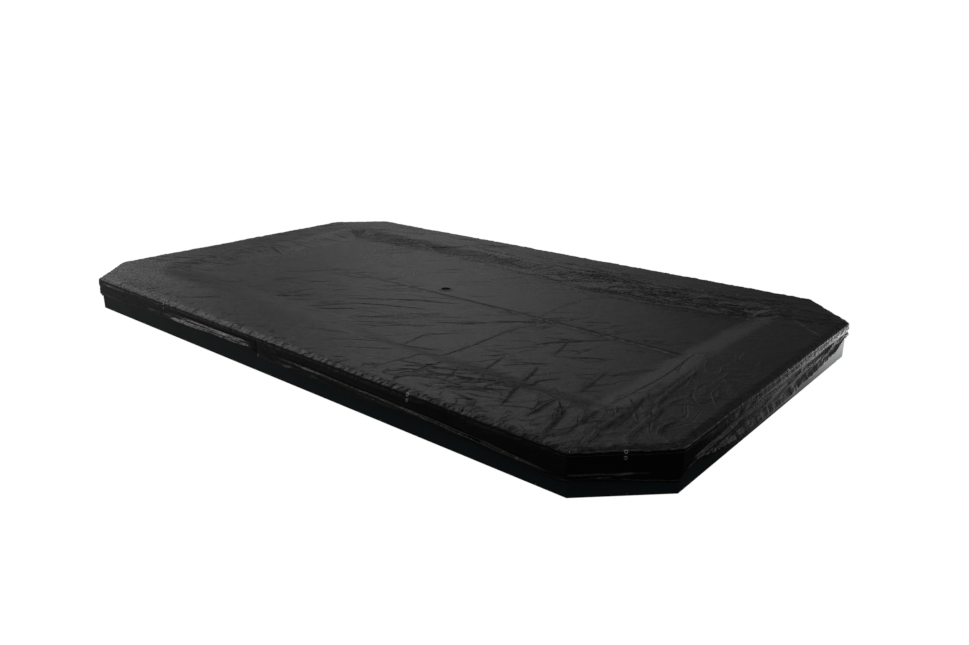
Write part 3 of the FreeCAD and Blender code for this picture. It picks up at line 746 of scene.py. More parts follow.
# where the film is most crumpled: the near right corner, the edges towards the left end, a little everywhere
def coverLively(x, y):
    corner = ease(0.5, 1.9, x) * ease(-0.1, -1.1, y) + ease(2.0, 2.3, x) * ease(0.5, -0.8, y) * 0.7
    edge = ease(1.30, 1.46, np.abs(y)) * 0.8 + ease(2.36, 2.53, np.abs(x)) * 0.5
    return np.clip(0.02 + corner * 0.7 + edge * ease(1.6, -0.6, x), 0.0, 1.0)


# the gathered crinkle along the outer edge, two soft noises added: shared by the sheet and the skirt's top
def edgeCrinkle(x, y):
    wide, narrow = coverShape["crinkle"]
    return softNoise(x * 21.0, y * 21.0, 36) * wide + softNoise(x * 48.0, y * 48.0, 39) * narrow


# height of the sheet: rim height less the eased slope by the inset, plus swells, ridges, the centre seam and
# the creases, less the rounded edge (edge^2 * drop). Inside the edge it is softly held above a height l,
# by (z + l + sqrt((z-l)^2 + s^2)) / 2, which keeps it clear of the pads on the rim and of the mat
def coverHeight(x, y):
    inset = insetOf(x, y)
    wander = softNoise(x * 1.3, y * 1.3, 3) * 0.022 + softNoise(x * 4.0, y * 4.0, 4) * 0.012
    gentle = coverShape["gentle"] * ease(-0.5, -1.1, y) * ease(0.6, -0.4, x)
    down = ease(coverShape["slopeStart"], coverShape["slopeEnd"] + gentle, inset + wander)
    z = coverShape["rimHeight"] - (coverShape["rimHeight"] - coverShape["troughHeight"]) * down
    edge = np.clip(1.0 - inset / coverShape["edgeWide"], 0.0, 1.0)
    z += cloudNoise(x * 1.6, y * 1.6, 21, 3) * (coverShape["swell"] + coverShape["rimSwell"] * (1 - down))
    z += cloudNoise(x * 5.0 + y * 1.5, y * 7.0, 22, 2) * coverShape["smallSwell"]
    grainX, grainY = x * 0.76 + y * 0.65, -x * 0.65 + y * 0.76
    patch = ease(-0.25, 0.4, cloudNoise(x * 0.9, y * 0.9, 23, 2))
    z += ridgeNoise(grainX * 1.8, grainY * 12.0, 24, 5.0) * coverShape["packRidge"] * patch
    z += softNoise(grainX * 3.5, grainY * 19.0, 26) * coverShape["packGrain"]
    lively = coverLively(x, y)
    bendX, bendY = softNoise(x * 4, y * 4, 31), softNoise(x * 4, y * 4, 32)
    z += (ridgeNoise(x * 4.5 + bendX, y * 4.5 + bendY, 33, 5.0) * coverShape["crumple"]
          + ridgeNoise(x * 13.0 + bendX * 1.5, y * 13.0 + bendY, 34, 4.0) * coverShape["smallCrumple"]
          ) * ease(0.25, 0.9, lively)
    z += edgeCrinkle(x, y) * bell(inset, 0.012, 0.034)
    seam = 0.012 * np.sin(x * 2.1) + 0.02
    crimp = softNoise(x * 24.0, x * 0.0, 38) * 0.004 * ease(-0.2, 0.1, x) * ease(2.1, 1.7, x)
    along = ease(-2.25, -2.0, x) * ease(2.25, 2.0, x)
    z += bell(y, seam + crimp, 0.012) * coverShape["seamRise"] * along
    z -= bell(y, seam + crimp - 0.030, 0.022) * coverShape["seamGroove"] * along * ease(-0.4, 0.5, x)
    z, gap, strength = addCreases(x, y, z, creases)
    near = np.abs(y - seam - crimp)
    lead = near < 0.017
    gap = np.where(lead, y - seam - crimp, gap)
    strength = np.where(lead, (0.8 + 0.5 * ease(-0.4, 0.6, x)) * along * (1.0 - ease(0.009, 0.017, near)),
                        strength)
    z -= edge ** 2 * coverShape["edgeDrop"]
    padsHere = 1 - ease(0.0, 0.55, down)
    least = coverShape["leastHeight"] + (coverShape["padClear"] - coverShape["leastHeight"]) * padsHere
    soft = np.sqrt((z - least) ** 2 + coverShape["softHold"] ** 2)
    z = np.where(edge > 0, z, (z + least + soft) / 2)
    return np.minimum(z, outline["top"] + coverShape["mostOver"]), gap, strength, lively


# grid lines closer together towards one end: even steps in the logarithm
def gradedLine(low, high, coarse, fine):
    count = int(round((high - low) * math.log(coarse / fine) / (coarse - fine)))
    t = np.linspace(0.0, 1.0, count + 1)
    line = (1.0 - (fine / coarse) ** t) / (1.0 - fine / coarse)
    return low + (high - low) * line


# one half of the sheet: rows run lengthwise, each row squeezed to fit between the clipped corners
def coverHalf(name, rows):
    a, b, leg = outline["halfLength"] - 0.004, outline["halfWidth"] - 0.004, outline["clipLeg"]
    t = gradedLine(-1.0, 1.0, coverShape["step"][0] / a, coverShape["step"][1] / a)
    reach = a - np.clip(np.abs(rows) - (b - leg), 0.0, None)
    x = t[None, :] * reach[:, None]
    y = np.repeat(rows[:, None], len(t), 1)
    z, gap, strength, lively = coverHeight(x.ravel(), y.ravel())
    piece = gridObject(name, np.stack([x, y, z.reshape(x.shape)], -1), uv=np.stack([x, y], -1))
    for label, values in (("creaseGap", gap), ("creaseStrength", strength), ("lively", lively)):
        layer = piece.data.attributes.new(label, "FLOAT", "POINT")
        layer.data.foreach_set("value", values.astype(np.float32))
    return piece, float(((x[:, -1] - x[:, 0])[:-1] * np.diff(rows)).sum())


sheetReach = outline["halfWidth"] - 0.004
frontHalf, frontArea = coverHalf("coverTopFront", -gradedLine(0.0, sheetReach, 0.0125, 0.0070)[::-1])
backHalf, backArea = coverHalf("coverTopBack", gradedLine(0.0, sheetReach, 0.0096, 0.0095))
print("sheet faces:", len(frontHalf.data.polygons), len(backHalf.data.polygons))


# removes the faces inside a circle
def cutHole(piece, centre, radius):
    mesh = piece.data
    count = len(mesh.polygons)
    middles = np.empty(count * 3, np.float32)
    mesh.polygons.foreach_get("center", middles)
    middles = middles.reshape(-1, 3)
    inside = np.hypot(middles[:, 0] - centre[0], middles[:, 1] - centre[1]) < radius
    work = bmesh.new()
    work.from_mesh(mesh)
    work.faces.ensure_lookup_table()
    bmesh.ops.delete(work, geom=[work.faces[i] for i in np.flatnonzero(inside)], context="FACES")
    work.to_mesh(mesh)
    work.free()


cutHole(backHalf, coverShape["drainAt"], coverShape["drainRadius"] + 0.004)
finish(frontHalf, topMaterial, "cover", "cover_sheet", "cover_rim", "cover_slope", "cover_middle")
finish(backHalf, topMaterial, "cover", "cover_sheet", "cover_rim", "cover_slope", "cover_middle")
print("cover sheet made")

# a patch ring round the drain: a flat rounded band following the sheet
drain = {"inner": 0.036, "outer": 0.056, "thick": 0.0012}
turn = np.linspace(0.0, 2 * math.pi, 64, endpoint=False)
section = np.linspace(0.0, 2 * math.pi, 12, endpoint=False)
middle, half = (drain["inner"] + drain["outer"]) / 2, (drain["outer"] - drain["inner"]) / 2
ringR = middle + half * np.sign(np.cos(section)) * np.abs(np.cos(section)) ** 0.5
ringX = coverShape["drainAt"][0] + ringR[:, None] * np.cos(turn)
ringY = coverShape["drainAt"][1] + ringR[:, None] * np.sin(turn)
level = coverHeight(ringX.ravel(), ringY.ravel())[0].reshape(ringX.shape).max(0)
ringZ = level[None, :] + drain["thick"] * (0.6 + np.sin(section)[:, None])
patch = gridObject("drainPatch", np.stack([ringX, ringY, ringZ], -1), wrapU=True, wrapV=True,
                   uv=np.stack([ringX, ringY], -1), flip=True)
finish(patch, plainMaterial, "cover", "cover_sheet")


# ---- the cover's skirt ----
# along each side, in metres: hem = height of the hem; fold = height of the tuck under the flat upper band;
# tuck = how far it goes in there; bulge and lip = how far the band and the lower part stand out
skirtShape = {
    "baseDown": 0.0155,      # how far under the outline's top the hanging part starts
    "longFold": 0.0040,      # random folds, small crumples and gathers, how far out each goes
    "shortFold": 0.0028,
    "crush": 0.0022,
    "gather": 0.0026,
    "hemWave": 0.0022,       # how much the gathers lift the hem
    "inMost": 0.0115,        # the cloth goes no further in than this, and less by the hem
    "inLess": 0.0032,
    "crimpUp": 0.98,         # shares of the edge's crinkle that go up and out
    "crimpOut": 0.4,
    "rows": 34,
    "step": 0.0078,
    "cornerRadius": 0.012,
    "edgeRadius": 0.016,
    "hemInset": 0.0125,
    "hem": {
        0: [(-2.22, .110), (-1.97, .106), (-1.68, .118), (-1.31, .126), (-0.88, .134), (-0.57, .147),
            (-0.19, .144),
            (-0.11, .110), (0.02, .100), (0.36, .096), (0.6, .090), (0.9, .091), (1.19, .104), (1.28, .112),
            (1.49, .096), (1.67, .100), (1.9, .088), (2.13, .081), (2.22, .086)],
        1: [(-0.26, .094), (-0.1, .088), (0.0, .082), (0.1, .075), (0.26, .068)],
        2: [(-1.15, .086), (-0.99, .115), (-0.85, .074), (-0.55, .048), (-0.04, .034), (0.18, .042),
            (0.34, .072),
            (0.77, .088), (0.95, .120), (1.14, .152)],
        3: [(-0.26, .120), (0.0, .092), (0.26, .100)],
    },
    "fold": {
        0: [(-2.2, .19), (-1.4, .185), (-0.95, .183), (-0.55, .180), (-0.2, .185), (-0.11, .17), (0.1, .165),
            (0.45, .158),
            (0.9, .150), (1.3, .143), (1.7, .130), (2.0, .122), (2.2, .120)],
        1: [(-0.26, .123), (0.26, .116)],
        2: [(-1.15, .150), (-0.8, .150), (-0.4, .165), (0.0, .170), (0.4, .165), (0.8, .170), (1.15, .180)],
        3: [(-0.26, .16), (0.26, .16)],
    },
    "tuck": {
        0: [(-2.2, .001), (-1.35, .002), (-1.1, .007), (-0.8, .011), (-0.3, .011), (-0.16, .002),
            (-0.05, .001),
            (0.15, .006), (0.3, .008), (0.38, .011), (0.55, .009), (1.0, .011), (1.8, .012), (2.0, .007),
            (2.2, .000)],
        1: [(-0.26, .000), (0.26, .000)],
        2: [(-1.15, .000), (-1.0, .004), (-0.8, .011), (-0.4, .010), (0.0, .008), (0.4, .011), (0.9, .011),
            (1.15, .002)],
        3: [(-0.26, .002), (0.26, .002)],
    },
    "bulge": {
        0: [(-2.2, .003), (-1.6, .005), (-1.0, .004), (-0.7, .001), (-0.3, .000), (-0.11, -.003), (0.1, .006),
            (0.40, -.002), (0.48, -.003), (0.6, .005), (1.2, .007), (1.45, .002), (1.52, -.003),
            (1.65, .007), (2.2, .001)],
        1: [(-0.26, .000), (0.26, .000)],
        2: [(-1.1, .001), (-0.9, .006), (-0.62, .006), (-0.56, -.005), (-0.50, .005), (-0.43, -.005),
            (-0.36, .005),
            (0.0, .005), (0.6, .004), (1.1, .002)],
        3: [(-0.26, .001), (0.26, .001)],
    },
    "lip": {
        0: [(-2.2, .002), (-1.6, .004), (-1.2, .010), (-1.0, .024), (-0.3, .024), (-0.17, .010),
            (-0.11, -.002),
            (0.03, .002), (0.2, .015), (0.33, .004), (0.45, .014), (0.6, .005), (1.1, .005), (1.3, .010),
            (1.5, .006),
            (1.75, .006), (2.0, .003), (2.2, .000)],
        1: [(-0.26, .002), (-0.15, .002), (0.0, .000), (0.26, .000)],
        2: [(-1.14, .001), (-0.95, .010), (-0.7, .022), (-0.4, .024), (-0.1, .016), (0.2, .020), (0.5, .024),
            (0.85, .018), (1.05, .006), (1.14, .002)],
        3: [(-0.26, .004), (0.26, .004)],
    },
}

# placed folds on the skirt: side, then (along, height) from and to, width, and how far out
skirtFolds = [
    (0, -2.22, .205, -1.78, .196, .009, .0055), (0, -2.22, .188, -1.85, .172, .008, .0045),
    (0, -2.20, .160, -1.60, .168, .009, .0045), (0, -2.20, .140, -1.80, .130, .009, .0055),
    (0, -1.90, .210, -1.45, .190, .004, .0030), (0, -1.45, .150, -1.10, .160, .005, .0040),
    (0, -0.11, .232, -0.12, .115, .007, -.0050), (0, -0.04, .205, 0.10, .140, .006, .0040),
    (0, 0.02, .215, 0.20, .165, .005, .0035), (0, -0.12, .180, -0.30, .225, .005, .0025),
    (0, 1.25, .135, 1.95, .100, .006, .0050), (0, 1.45, .128, 2.10, .098, .005, .0045),
    (0, 1.60, .150, 2.15, .115, .006, .0040), (0, 0.60, .130, 1.20, .112, .006, .0035),
    (0, 1.90, .110, 2.20, .094, .004, .0030),
    (1, -0.26, .119, 0.10, .115, .0055, .0050), (1, -0.26, .103, -0.02, .102, .0060, .0065),
    (1, -0.14, .098, 0.02, .118, .0060, .0045),
    (1, -0.26, .219, 0.26, .221, .0050, -.0022), (1, 0.10, .088, 0.26, .086, .0055, .0030),
    (2, -1.13, .110, -0.75, .150, .006, .0060), (2, -1.10, .095, -0.60, .140, .005, .0055),
    (2, -0.95, .160, -0.60, .190, .005, .0040), (2, -0.80, .100, -0.30, .150, .006, .0060),
    (2, -0.50, .080, -0.10, .150, .007, .0060), (2, -0.20, .090, 0.40, .170, .008, .0065),
    (2, 0.10, .080, 0.60, .150, .007, .0060), (2, 0.45, .110, 1.05, .190, .008, .0060),
    (2, -1.10, .215, -0.10, .214, .003, .0030), (2, 0.70, .110, 1.12, .150, .006, .0050),
    (3, -0.26, .19, 0.26, .15, .005, .0040), (3, -0.20, .13, 0.20, .17, .009, .0045),
]


# a line set along a side, turned half round for the opposite side, read at each place with eased joins
def sideLine(table, side, along):
    value = np.zeros_like(along)
    for k in range(8):
        points = np.array(table[k % 4])
        mask = side == k
        where = np.clip(along[mask], points[0, 0], points[-1, 0])
        slot = np.clip(np.searchsorted(points[:, 0], where) - 1, 0, len(points) - 2)
        t = (where - points[slot, 0]) / (points[slot + 1, 0] - points[slot, 0])
        t = t * t * (3 - 2 * t)
        value[mask] = points[slot, 1] * (1 - t) + points[slot + 1, 1] * t
    return value


# averages each place with its neighbours round the closed outline
def roundSmooth(values, times):
    for _ in range(times):
        values = (np.roll(values, 1) + values * 2 + np.roll(values, -1)) / 4
    return values


eyeletPlaces = [[(-1.23, 0.199), (-1.23, 0.228), (1.23, 0.199), (1.23, 0.228), (-0.11, 0.112)],
                [(0.0, 0.090), (0.0, 0.199), (0.0, 0.228)],
                [(0.08, 0.199), (0.08, 0.228)],
                [(0.0, 0.104), (0.0, 0.199), (0.0, 0.228)]] * 2

ringPlace, ringOut, ringSide, ringAlong = walkOutline(0.0015, skirtShape["cornerRadius"], skirtShape["step"])
ringRun = np.concatenate([[0.0], np.cumsum(np.hypot(*np.diff(ringPlace, axis=0).T))])
skirtLines = {key: roundSmooth(sideLine(skirtShape[key], ringSide, ringAlong), 8 if key == "bulge" else 12)
              for key in ("hem", "fold", "tuck", "bulge", "lip")}
hemLine = skirtLines["hem"]
# a calm spot round every eyelet and at every corner, where the cloth lies flat
calm = np.ones_like(ringRun)
for k in range(8):
    for spot, _ in eyeletPlaces[k]:
        calm[ringSide == k] *= 1 - 0.75 * bell(ringAlong[ringSide == k], spot, 0.035)


# points of the skirt: v runs from the top edge to the hem. The first rows bend over the edge. Below them,
# outwards = band bulge - tuck + lip + placed folds + random folds + crumples + hem gathers - the hem's inset
def skirtSurface(v, columns=slice(None)):
    place, out, run = ringPlace[columns], ringOut[columns], ringRun[columns]
    line = {key: value[columns][None, :] for key, value in skirtLines.items()}
    still, side, along = calm[columns][None, :], ringSide[columns], ringAlong[columns]
    run = run[None, :]
    radius = skirtShape["edgeRadius"]
    turn = math.radians(40) + np.clip(v / 0.10, 0.0, 1.0)[:, None] * math.radians(50)
    fall = np.clip((v - 0.10) / 0.90, 0.0, 1.0)[:, None]
    gather = softNoise(run * 38.0, run * 0, 51) * 0.6 + softNoise(run * 83.0, run * 0, 52) * 0.4
    base = outline["top"] - skirtShape["baseDown"]
    z = np.where(fall > 0, base - (base - line["hem"] - gather * skirtShape["hemWave"] * still) * fall,
                 base + radius * np.cos(turn))
    band = np.clip((base - z) / (base - line["fold"]), 0.0, 1.0)
    lower = np.clip((line["fold"] - z) / np.maximum(line["fold"] - line["hem"], 0.01), 0.0, 1.0)
    body = np.sin(math.pi * np.clip(fall, 0, 1)) ** 0.7
    below = ease(0.0, 0.16, fall)
    outwards = line["bulge"] * np.sin(math.pi * band)
    outwards = outwards - line["tuck"] * np.exp(-(((z - line["fold"]) / 0.010) ** 2))
    lowest = lower + gather * 0.03 + softNoise(run * 13.0, run * 0, 65) * 0.12
    outwards = outwards + line["lip"] * ease(0.38, 0.80, lowest) * (1.0 - 0.75 * ease(0.88, 1.05, lowest))
    for k, s0, z0, s1, z1, width, rise in skirtFolds:
        first, last = min(s0, s1) - 0.02, max(s0, s1) + 0.02
        mask = (side % 4 == k) & (along > first) & (along < last)
        if mask.any():
            t = np.clip((along[mask] - s0) / (s1 - s0), 0.0, 1.0)[None, :] if abs(s1 - s0) > 0.05 else None
            if t is None:
                d = ((along[mask] - (s0 + s1) / 2)[None, :]
                     + softNoise(z[:, mask] * 40.0, z[:, mask] * 0 + k, 57) * 0.004)
                fade = ease(min(z0, z1) - 0.01, min(z0, z1) + 0.02, z[:, mask])
            else:
                d = (z[:, mask] - (z0 + (z1 - z0) * t)
                     - softNoise(run[:, mask] * 9.0, run[:, mask] * 0 + z0 * 50, 58) * 0.003)
                fade = np.sin(math.pi * np.clip(t, 0.03, 0.97)) ** 0.5 if k != 1 else 1.0
            outwards[:, mask] += rise * fade * np.exp(-((d / width) ** 2)) * below
    depth = base - z
    folds = ridgeNoise(run * 1.7 + depth * 4.0, depth * 26.0 + run * 0.35, 53, 4.0)
    folds2 = ridgeNoise(run * 3.1 - depth * 9.0, depth * 44.0 - run * 0.5, 54, 4.0)
    crush = cloudNoise(run * 14.0 + fall * 3.0, depth * 30.0, 55, 3)
    lively = ((0.35 + 0.65 * ease(-0.3, 0.4, softNoise(run * 0.8, run * 0, 56)))
              * np.where(side % 2 == 1, 0.25, 1.0)[None, :])
    calmBand = 0.35 + 0.65 * ease(0.0, 0.3, lower)
    wavy = folds * skirtShape["longFold"] + folds2 * skirtShape["shortFold"]
    outwards = outwards + wavy * body * still * lively * calmBand
    outwards = outwards + crush * skirtShape["crush"] * body * still * lively
    frill = 0.25 + 0.75 * lively + ease(0.012, 0.024, line["lip"]) * 1.2
    outwards = outwards + gather * skirtShape["gather"] * ease(0.62, 0.97, fall) * still * frill
    outwards = outwards - skirtShape["hemInset"] * ease(0.84, 1.0, fall)
    outwards = outwards * below
    nearEdge = place - out * 0.008
    edgeCrimp = edgeCrinkle(nearEdge[:, 0], nearEdge[:, 1])[None, :] * bell(fall, 0.0, 0.10)
    edgeCrimp = edgeCrimp * skirtShape["crimpUp"]
    least = -skirtShape["inMost"] + skirtShape["inLess"] * ease(0.84, 1.0, fall)
    outwards = np.maximum(outwards, least) + edgeCrimp * skirtShape["crimpOut"] * ease(0.0, 0.05, fall)
    outwards = outwards - np.where(fall > 0, 0.0, radius * (1.0 - np.sin(turn)))
    z = z + edgeCrimp
    x = place[:, 0][None, :] + out[:, 0][None, :] * outwards
    y = place[:, 1][None, :] + out[:, 1][None, :] * outwards
    return np.stack([x, y, z], -1)


rowsV = np.concatenate([np.linspace(0.0, 0.10, 6), np.linspace(0.10, 1.0, skirtShape["rows"])[1:]])
skirtPoints = skirtSurface(rowsV)
fall = rowsV * 0.15
skirtUv = np.stack(np.broadcast_arrays(ringRun[None, :], fall[:, None]), -1)
skirt = gridObject("coverSkirt", skirtPoints, wrapU=True, uv=skirtUv, flip=True)
finish(skirt, skirtMaterial, "cover", "cover_sheet", "cover_skirt")


# a band carried round the outline: section points are (outwards, up) about each place on it
def outlineBand(name, places, outs, heights, section, uvRun):
    x = places[None, :, 0] + outs[None, :, 0] * section[:, 0][:, None]
    y = places[None, :, 1] + outs[None, :, 1] * section[:, 0][:, None]
    z = heights[None, :] + section[:, 1][:, None]
    around = np.linspace(0.0, 0.02, len(section))
    uv = np.stack(np.broadcast_arrays(uvRun[None, :], around[:, None]), -1)
    return gridObject(name, np.stack([x, y, z], -1), wrapU=True, wrapV=True, uv=uv, flip=True)


def roundSection(wide, tall, sides=10):
    t = np.linspace(0.0, 2 * math.pi, sides, endpoint=False)
    return np.stack([np.cos(t) * wide, np.sin(t) * tall], 1)


# rim welt: the folded seam where the skirt is sewn to the upper sheet
weltLine = skirtSurface(np.array([0.16]))[0]
weltRise = softNoise(ringRun * 6.0, ringRun * 0, 61) * 0.0006
welt = outlineBand("rimWelt", weltLine[:, :2], ringOut, weltLine[:, 2] + weltRise,
                   roundSection(0.0013, 0.0017), ringRun)
finish(welt, skirtMaterial, "cover", "cover_sheet")
# hem roll: the tunnel that the elastic runs in, gathered
hemPoints = skirtPoints[-1]
hemPuff = 1.0 + 0.35 * softNoise(ringRun * 60.0, ringRun * 0, 63)
hemSection = roundSection(0.0028, 0.0050)
x = hemPoints[None, :, 0] + ringOut[None, :, 0] * (hemSection[:, 0][:, None] * hemPuff)
y = hemPoints[None, :, 1] + ringOut[None, :, 1] * (hemSection[:, 0][:, None] * hemPuff)
z = hemPoints[None, :, 2] + 0.001 + hemSection[:, 1][:, None] * hemPuff
hemUv = np.stack(np.broadcast_arrays(ringRun[None, :], np.linspace(0, 0.03, 10)[:, None]), -1)
hemRoll = gridObject("coverHem", np.stack([x, y, z], -1), wrapU=True, wrapV=True, uv=hemUv, flip=True)
finish(hemRoll, skirtMaterial, "cover", "cover_sheet")
elastic = outlineBand("hemElastic", hemPoints[:, :2] - ringOut * 0.0005, ringOut, hemPoints[:, 2] + 0.001,
                      roundSection(0.0022, 0.0022, 8), ringRun)
finish(elastic, elasticCloth, "cover", "hem_elastic", "hem_elastic")
print("skirt made")

# eyelets: a pressed washer on the outer face, its barrel through the cloth
eyelet = {"outer": 0.0092, "hole": 0.0050, "lip": 0.0016}
profile = np.array([(eyelet["hole"], -0.0012), (eyelet["hole"], 0.0002),
                    (eyelet["hole"] + 0.0008, eyelet["lip"]),
                    (eyelet["outer"] - 0.0012, eyelet["lip"] * 0.9), (eyelet["outer"], 0.0003),
                    (eyelet["outer"], -0.0012)])
turn = np.linspace(0.0, 2 * math.pi, 20, endpoint=False)
eyeletQuads = gridQuads(len(profile), len(turn), wrapU=True, wrapV=True)
spots, axes = [], []
fineV = np.linspace(0.0, 1.0, 240)
for k in range(8):
    for spot, height in eyeletPlaces[k]:
        mine = np.flatnonzero(ringSide == k)
        column = mine[np.argmin(np.abs(ringAlong[mine] - spot))]
        line = skirtSurface(fineV, slice(column, column + 1))[:, 0]
        row = int(np.argmin(np.abs(line[:, 2] - height)))
        row = min(max(row, 3), 236)
        down = line[row + 3] - line[row - 3]
        down = down / np.linalg.norm(down)
        out = np.array([*ringOut[column], 0.0])
        normal = out - down * (out @ down)
        normal = normal / np.linalg.norm(normal)
        spots.append(line[row] + normal * 0.0008)
        axes.append(np.stack([np.cross(down, normal), down, normal], 1))
spots, axes = np.array(spots), np.array(axes)
vertices, quads = scatter(turned(profile, turn).reshape(-1, 3), eyeletQuads, spots, axes)
eyelets = faceObject("coverEyelets", vertices, quads)
finish(eyelets, eyeletMetal, "cover", "eyelet_metal", "cover_eyelets")
# a near-black cup of cloth pressed into each eyelet's hole: painted shade standing in for the dark inside of
# the hole
holeShadeCup = np.array([(0.0, -0.0010), (0.0026, -0.0008), (eyelet["hole"] + 0.0004, 0.0001)])
holeShadeQuads = gridQuads(len(holeShadeCup), len(turn), wrapU=True)
vertices, quads = scatter(turned(holeShadeCup, turn).reshape(-1, 3), holeShadeQuads, spots, axes)
holeShadeCups = faceObject("eyeletHoleShade", vertices, quads, uv=vertices[:, [0, 2]])
finish(holeShadeCups, drainCloth, "cover", "tie_tape")

# tie tapes behind the eyelets: narrow woven tapes down the inside of the skirt
tape = {"width": 0.012, "thick": 0.0010, "inset": 0.0129}
tapePoints = []
tapeQuads = []
count = 0
for k in range(8):
    for spot in sorted({s for s, h in eyeletPlaces[k] if h > 0.15}):
        mine = np.flatnonzero(ringSide == k)
        column = mine[np.argmin(np.abs(ringAlong[mine] - spot))]
        base, out = ringPlace[column], ringOut[column]
        run = np.array([-out[1], out[0]])
        heights = np.linspace(0.232, max(0.088, hemLine[column] + 0.006), 24)
        sway = np.sin(np.linspace(0, math.pi * 3, 24)) * 0.0004
        ring = [(-1, -1), (1, -1), (1, 1), (-1, 1)]
        block = np.array([[(*(base - out * (tape["inset"] - 0.0015 + sway[i] - b2 * tape["thick"] / 2)
                              + run * a2 * tape["width"] / 2), heights[i]) for a2,
                           b2 in ring] for i in range(24)])
        tapeQuads.append(gridQuads(24, 4, wrapU=True, start=count))
        tapeQuads.append(np.array([[count + 3, count + 2, count + 1, count],
                                   [count + 92, count + 93, count + 94, count + 95]]))
        tapePoints.append(block.reshape(-1, 3))
        count += 96
tapePoints = np.concatenate(tapePoints)
ties = faceObject("coverTies", tapePoints, np.concatenate(tapeQuads)[:, ::-1], uv=tapePoints[:, [0, 2]],
                  smooth=False)
finish(ties, webbing, "cover", "tie_tape", "cover_ties")
print("eyelets and ties made")


# ---- springs, mat, webbing ----
springShape = {"height": 0.186, "ringEnd": 0.0665, "coilStart": 0.084, "coilEnd": 0.282, "matEnd": 0.3085,
               "radius": 0.008, "wire": 0.0014, "counts": [44, 3, 21, 3] * 2}


# a side's middle, its direction along and its direction inwards
def sideAxes(k):
    angle = math.radians(45 * k)
    along = np.array([math.cos(angle), math.sin(angle), 0.0])
    inward = np.array([-math.sin(angle), math.cos(angle), 0.0])
    a, b, leg = outline["halfLength"], outline["halfWidth"], outline["clipLeg"] / 2
    middles = [(0, -b), (a - leg, leg - b), (a, 0), (a - leg, b - leg), (0, b), (leg - a, b - leg), (-a, 0),
               (leg - a, leg - b)]
    return np.array([*middles[k], 0.0]), along, inward


# one spring: a rod whose radius swells to the coil, with a bent wire hook at each end
def springMesh():
    s = springShape
    stations = np.array([(s["coilStart"] - 0.006, 0.0016), (s["coilStart"], 0.0055),
                         (s["coilStart"] + 0.006, s["radius"]),
                         (s["coilEnd"] - 0.006, s["radius"]), (s["coilEnd"], 0.0055),
                         (s["coilEnd"] + 0.006, 0.0016)])
    path = np.stack([np.zeros(6), stations[:, 0], np.full(6, s["height"])], 1)
    across, up = np.tile([1.0, 0, 0], (6, 1)), np.tile([0, 0, 1.0], (6, 1))
    pieces = [tubePoints(path, across, up, stations[:, 1], 8)]
    for hook in ([(s["coilStart"] - 0.003, 0.0), (0.074, 0.0045), (0.068, 0.0045), (0.0635, 0.0),
                  (0.064, -0.006)],
                 [(s["coilEnd"] + 0.003, 0.0), (0.296, 0.0035), (0.306, 0.0040), (0.3105, 0.0),
                  (0.308, -0.0045)]):
        line = np.array(hook)
        path = np.stack([np.zeros(len(line)), line[:, 0], s["height"] + line[:, 1]], 1)
        run = np.gradient(path, axis=0)
        run = run / np.linalg.norm(run, axis=1)[:, None]
        across = np.tile([1.0, 0, 0], (len(line), 1))
        pieces.append(tubePoints(path, across, np.cross(across, run), np.full(len(line), s["wire"]), 5))
    vertices, quads, uvs, start = [], [], [], 0
    for points in pieces:
        rows, sides = points.shape[:2]
        quads.append(gridQuads(rows, sides, wrapU=True, start=start))
        vertices.append(points.reshape(-1, 3))
        uvs.append(np.stack(np.broadcast_arrays((np.arange(sides) / sides)[None, :], points[:, :, 1]),
                            -1).reshape(-1, 2))
        start += rows * sides
    return np.concatenate(vertices), np.concatenate(quads), np.concatenate(uvs)


springPoints, springQuads, springUv = springMesh()
sideNames = ["Front", "FrontRight", "Right", "BackRight", "Back", "BackLeft", "Left", "FrontLeft"]
cadSprings = ["springs_front", "springs_corners", "springs_right", "springs_corners",
              "springs_back", "springs_corners", "springs_left", "springs_corners"]
for k in range(8):
    middle, along, inward = sideAxes(k)
    reach = halves[k] - mitre * 0.330
    number = springShape["counts"][k]
    spots = reach * (2 * (np.arange(number) + 0.5) / number - 1)
    places = middle + along * spots[:, None]
    axes = np.repeat(np.stack([along, inward, [0, 0, 1.0]], 1)[None], number, 0)
    vertices, quads = scatter(springPoints, springQuads, places, axes)
    piece = faceObject("springs" + sideNames[k], vertices, quads, uv=np.tile(springUv, (number, 1)))
    finish(piece, springWire, None, "spring_wire", cadSprings[k])
    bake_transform(piece)

matShape = {"inset": 0.330, "height": 0.1868, "sag": 0.0028, "step": 0.03}


def matSheet():
    inset = matShape["inset"]
    a, b = outline["halfLength"] - inset, outline["halfWidth"] - inset
    leg = outline["clipLeg"] - (2 - rootTwo) * inset
    y = np.linspace(-b, b, int(2 * b / matShape["step"]) + 1)
    t = np.linspace(-1, 1, int(2 * a / matShape["step"]) + 1)
    x = t[None, :] * (a - np.clip(np.abs(y) - (b - leg), 0, None))[:, None]
    y = np.repeat(y[:, None], len(t), 1)
    edge = np.clip(insetOf(x, y) - inset, 0, None)
    z = matShape["height"] - matShape["sag"] * ease(0.0, 0.9, edge) + softNoise(x * 3, y * 3, 71) * 0.0004
    area = float(((x[:, -1] - x[:, 0])[:-1] * np.diff(y[:, 0])).sum())
    return gridObject("jumpMat", np.stack([x, y, z], -1), uv=np.stack([x, y], -1)), area, (2 * b, 2 * a)


mat, matArea, matFlat = matSheet()
finish(mat, matWeave, "mat", "mat_weave", "jump_mat")

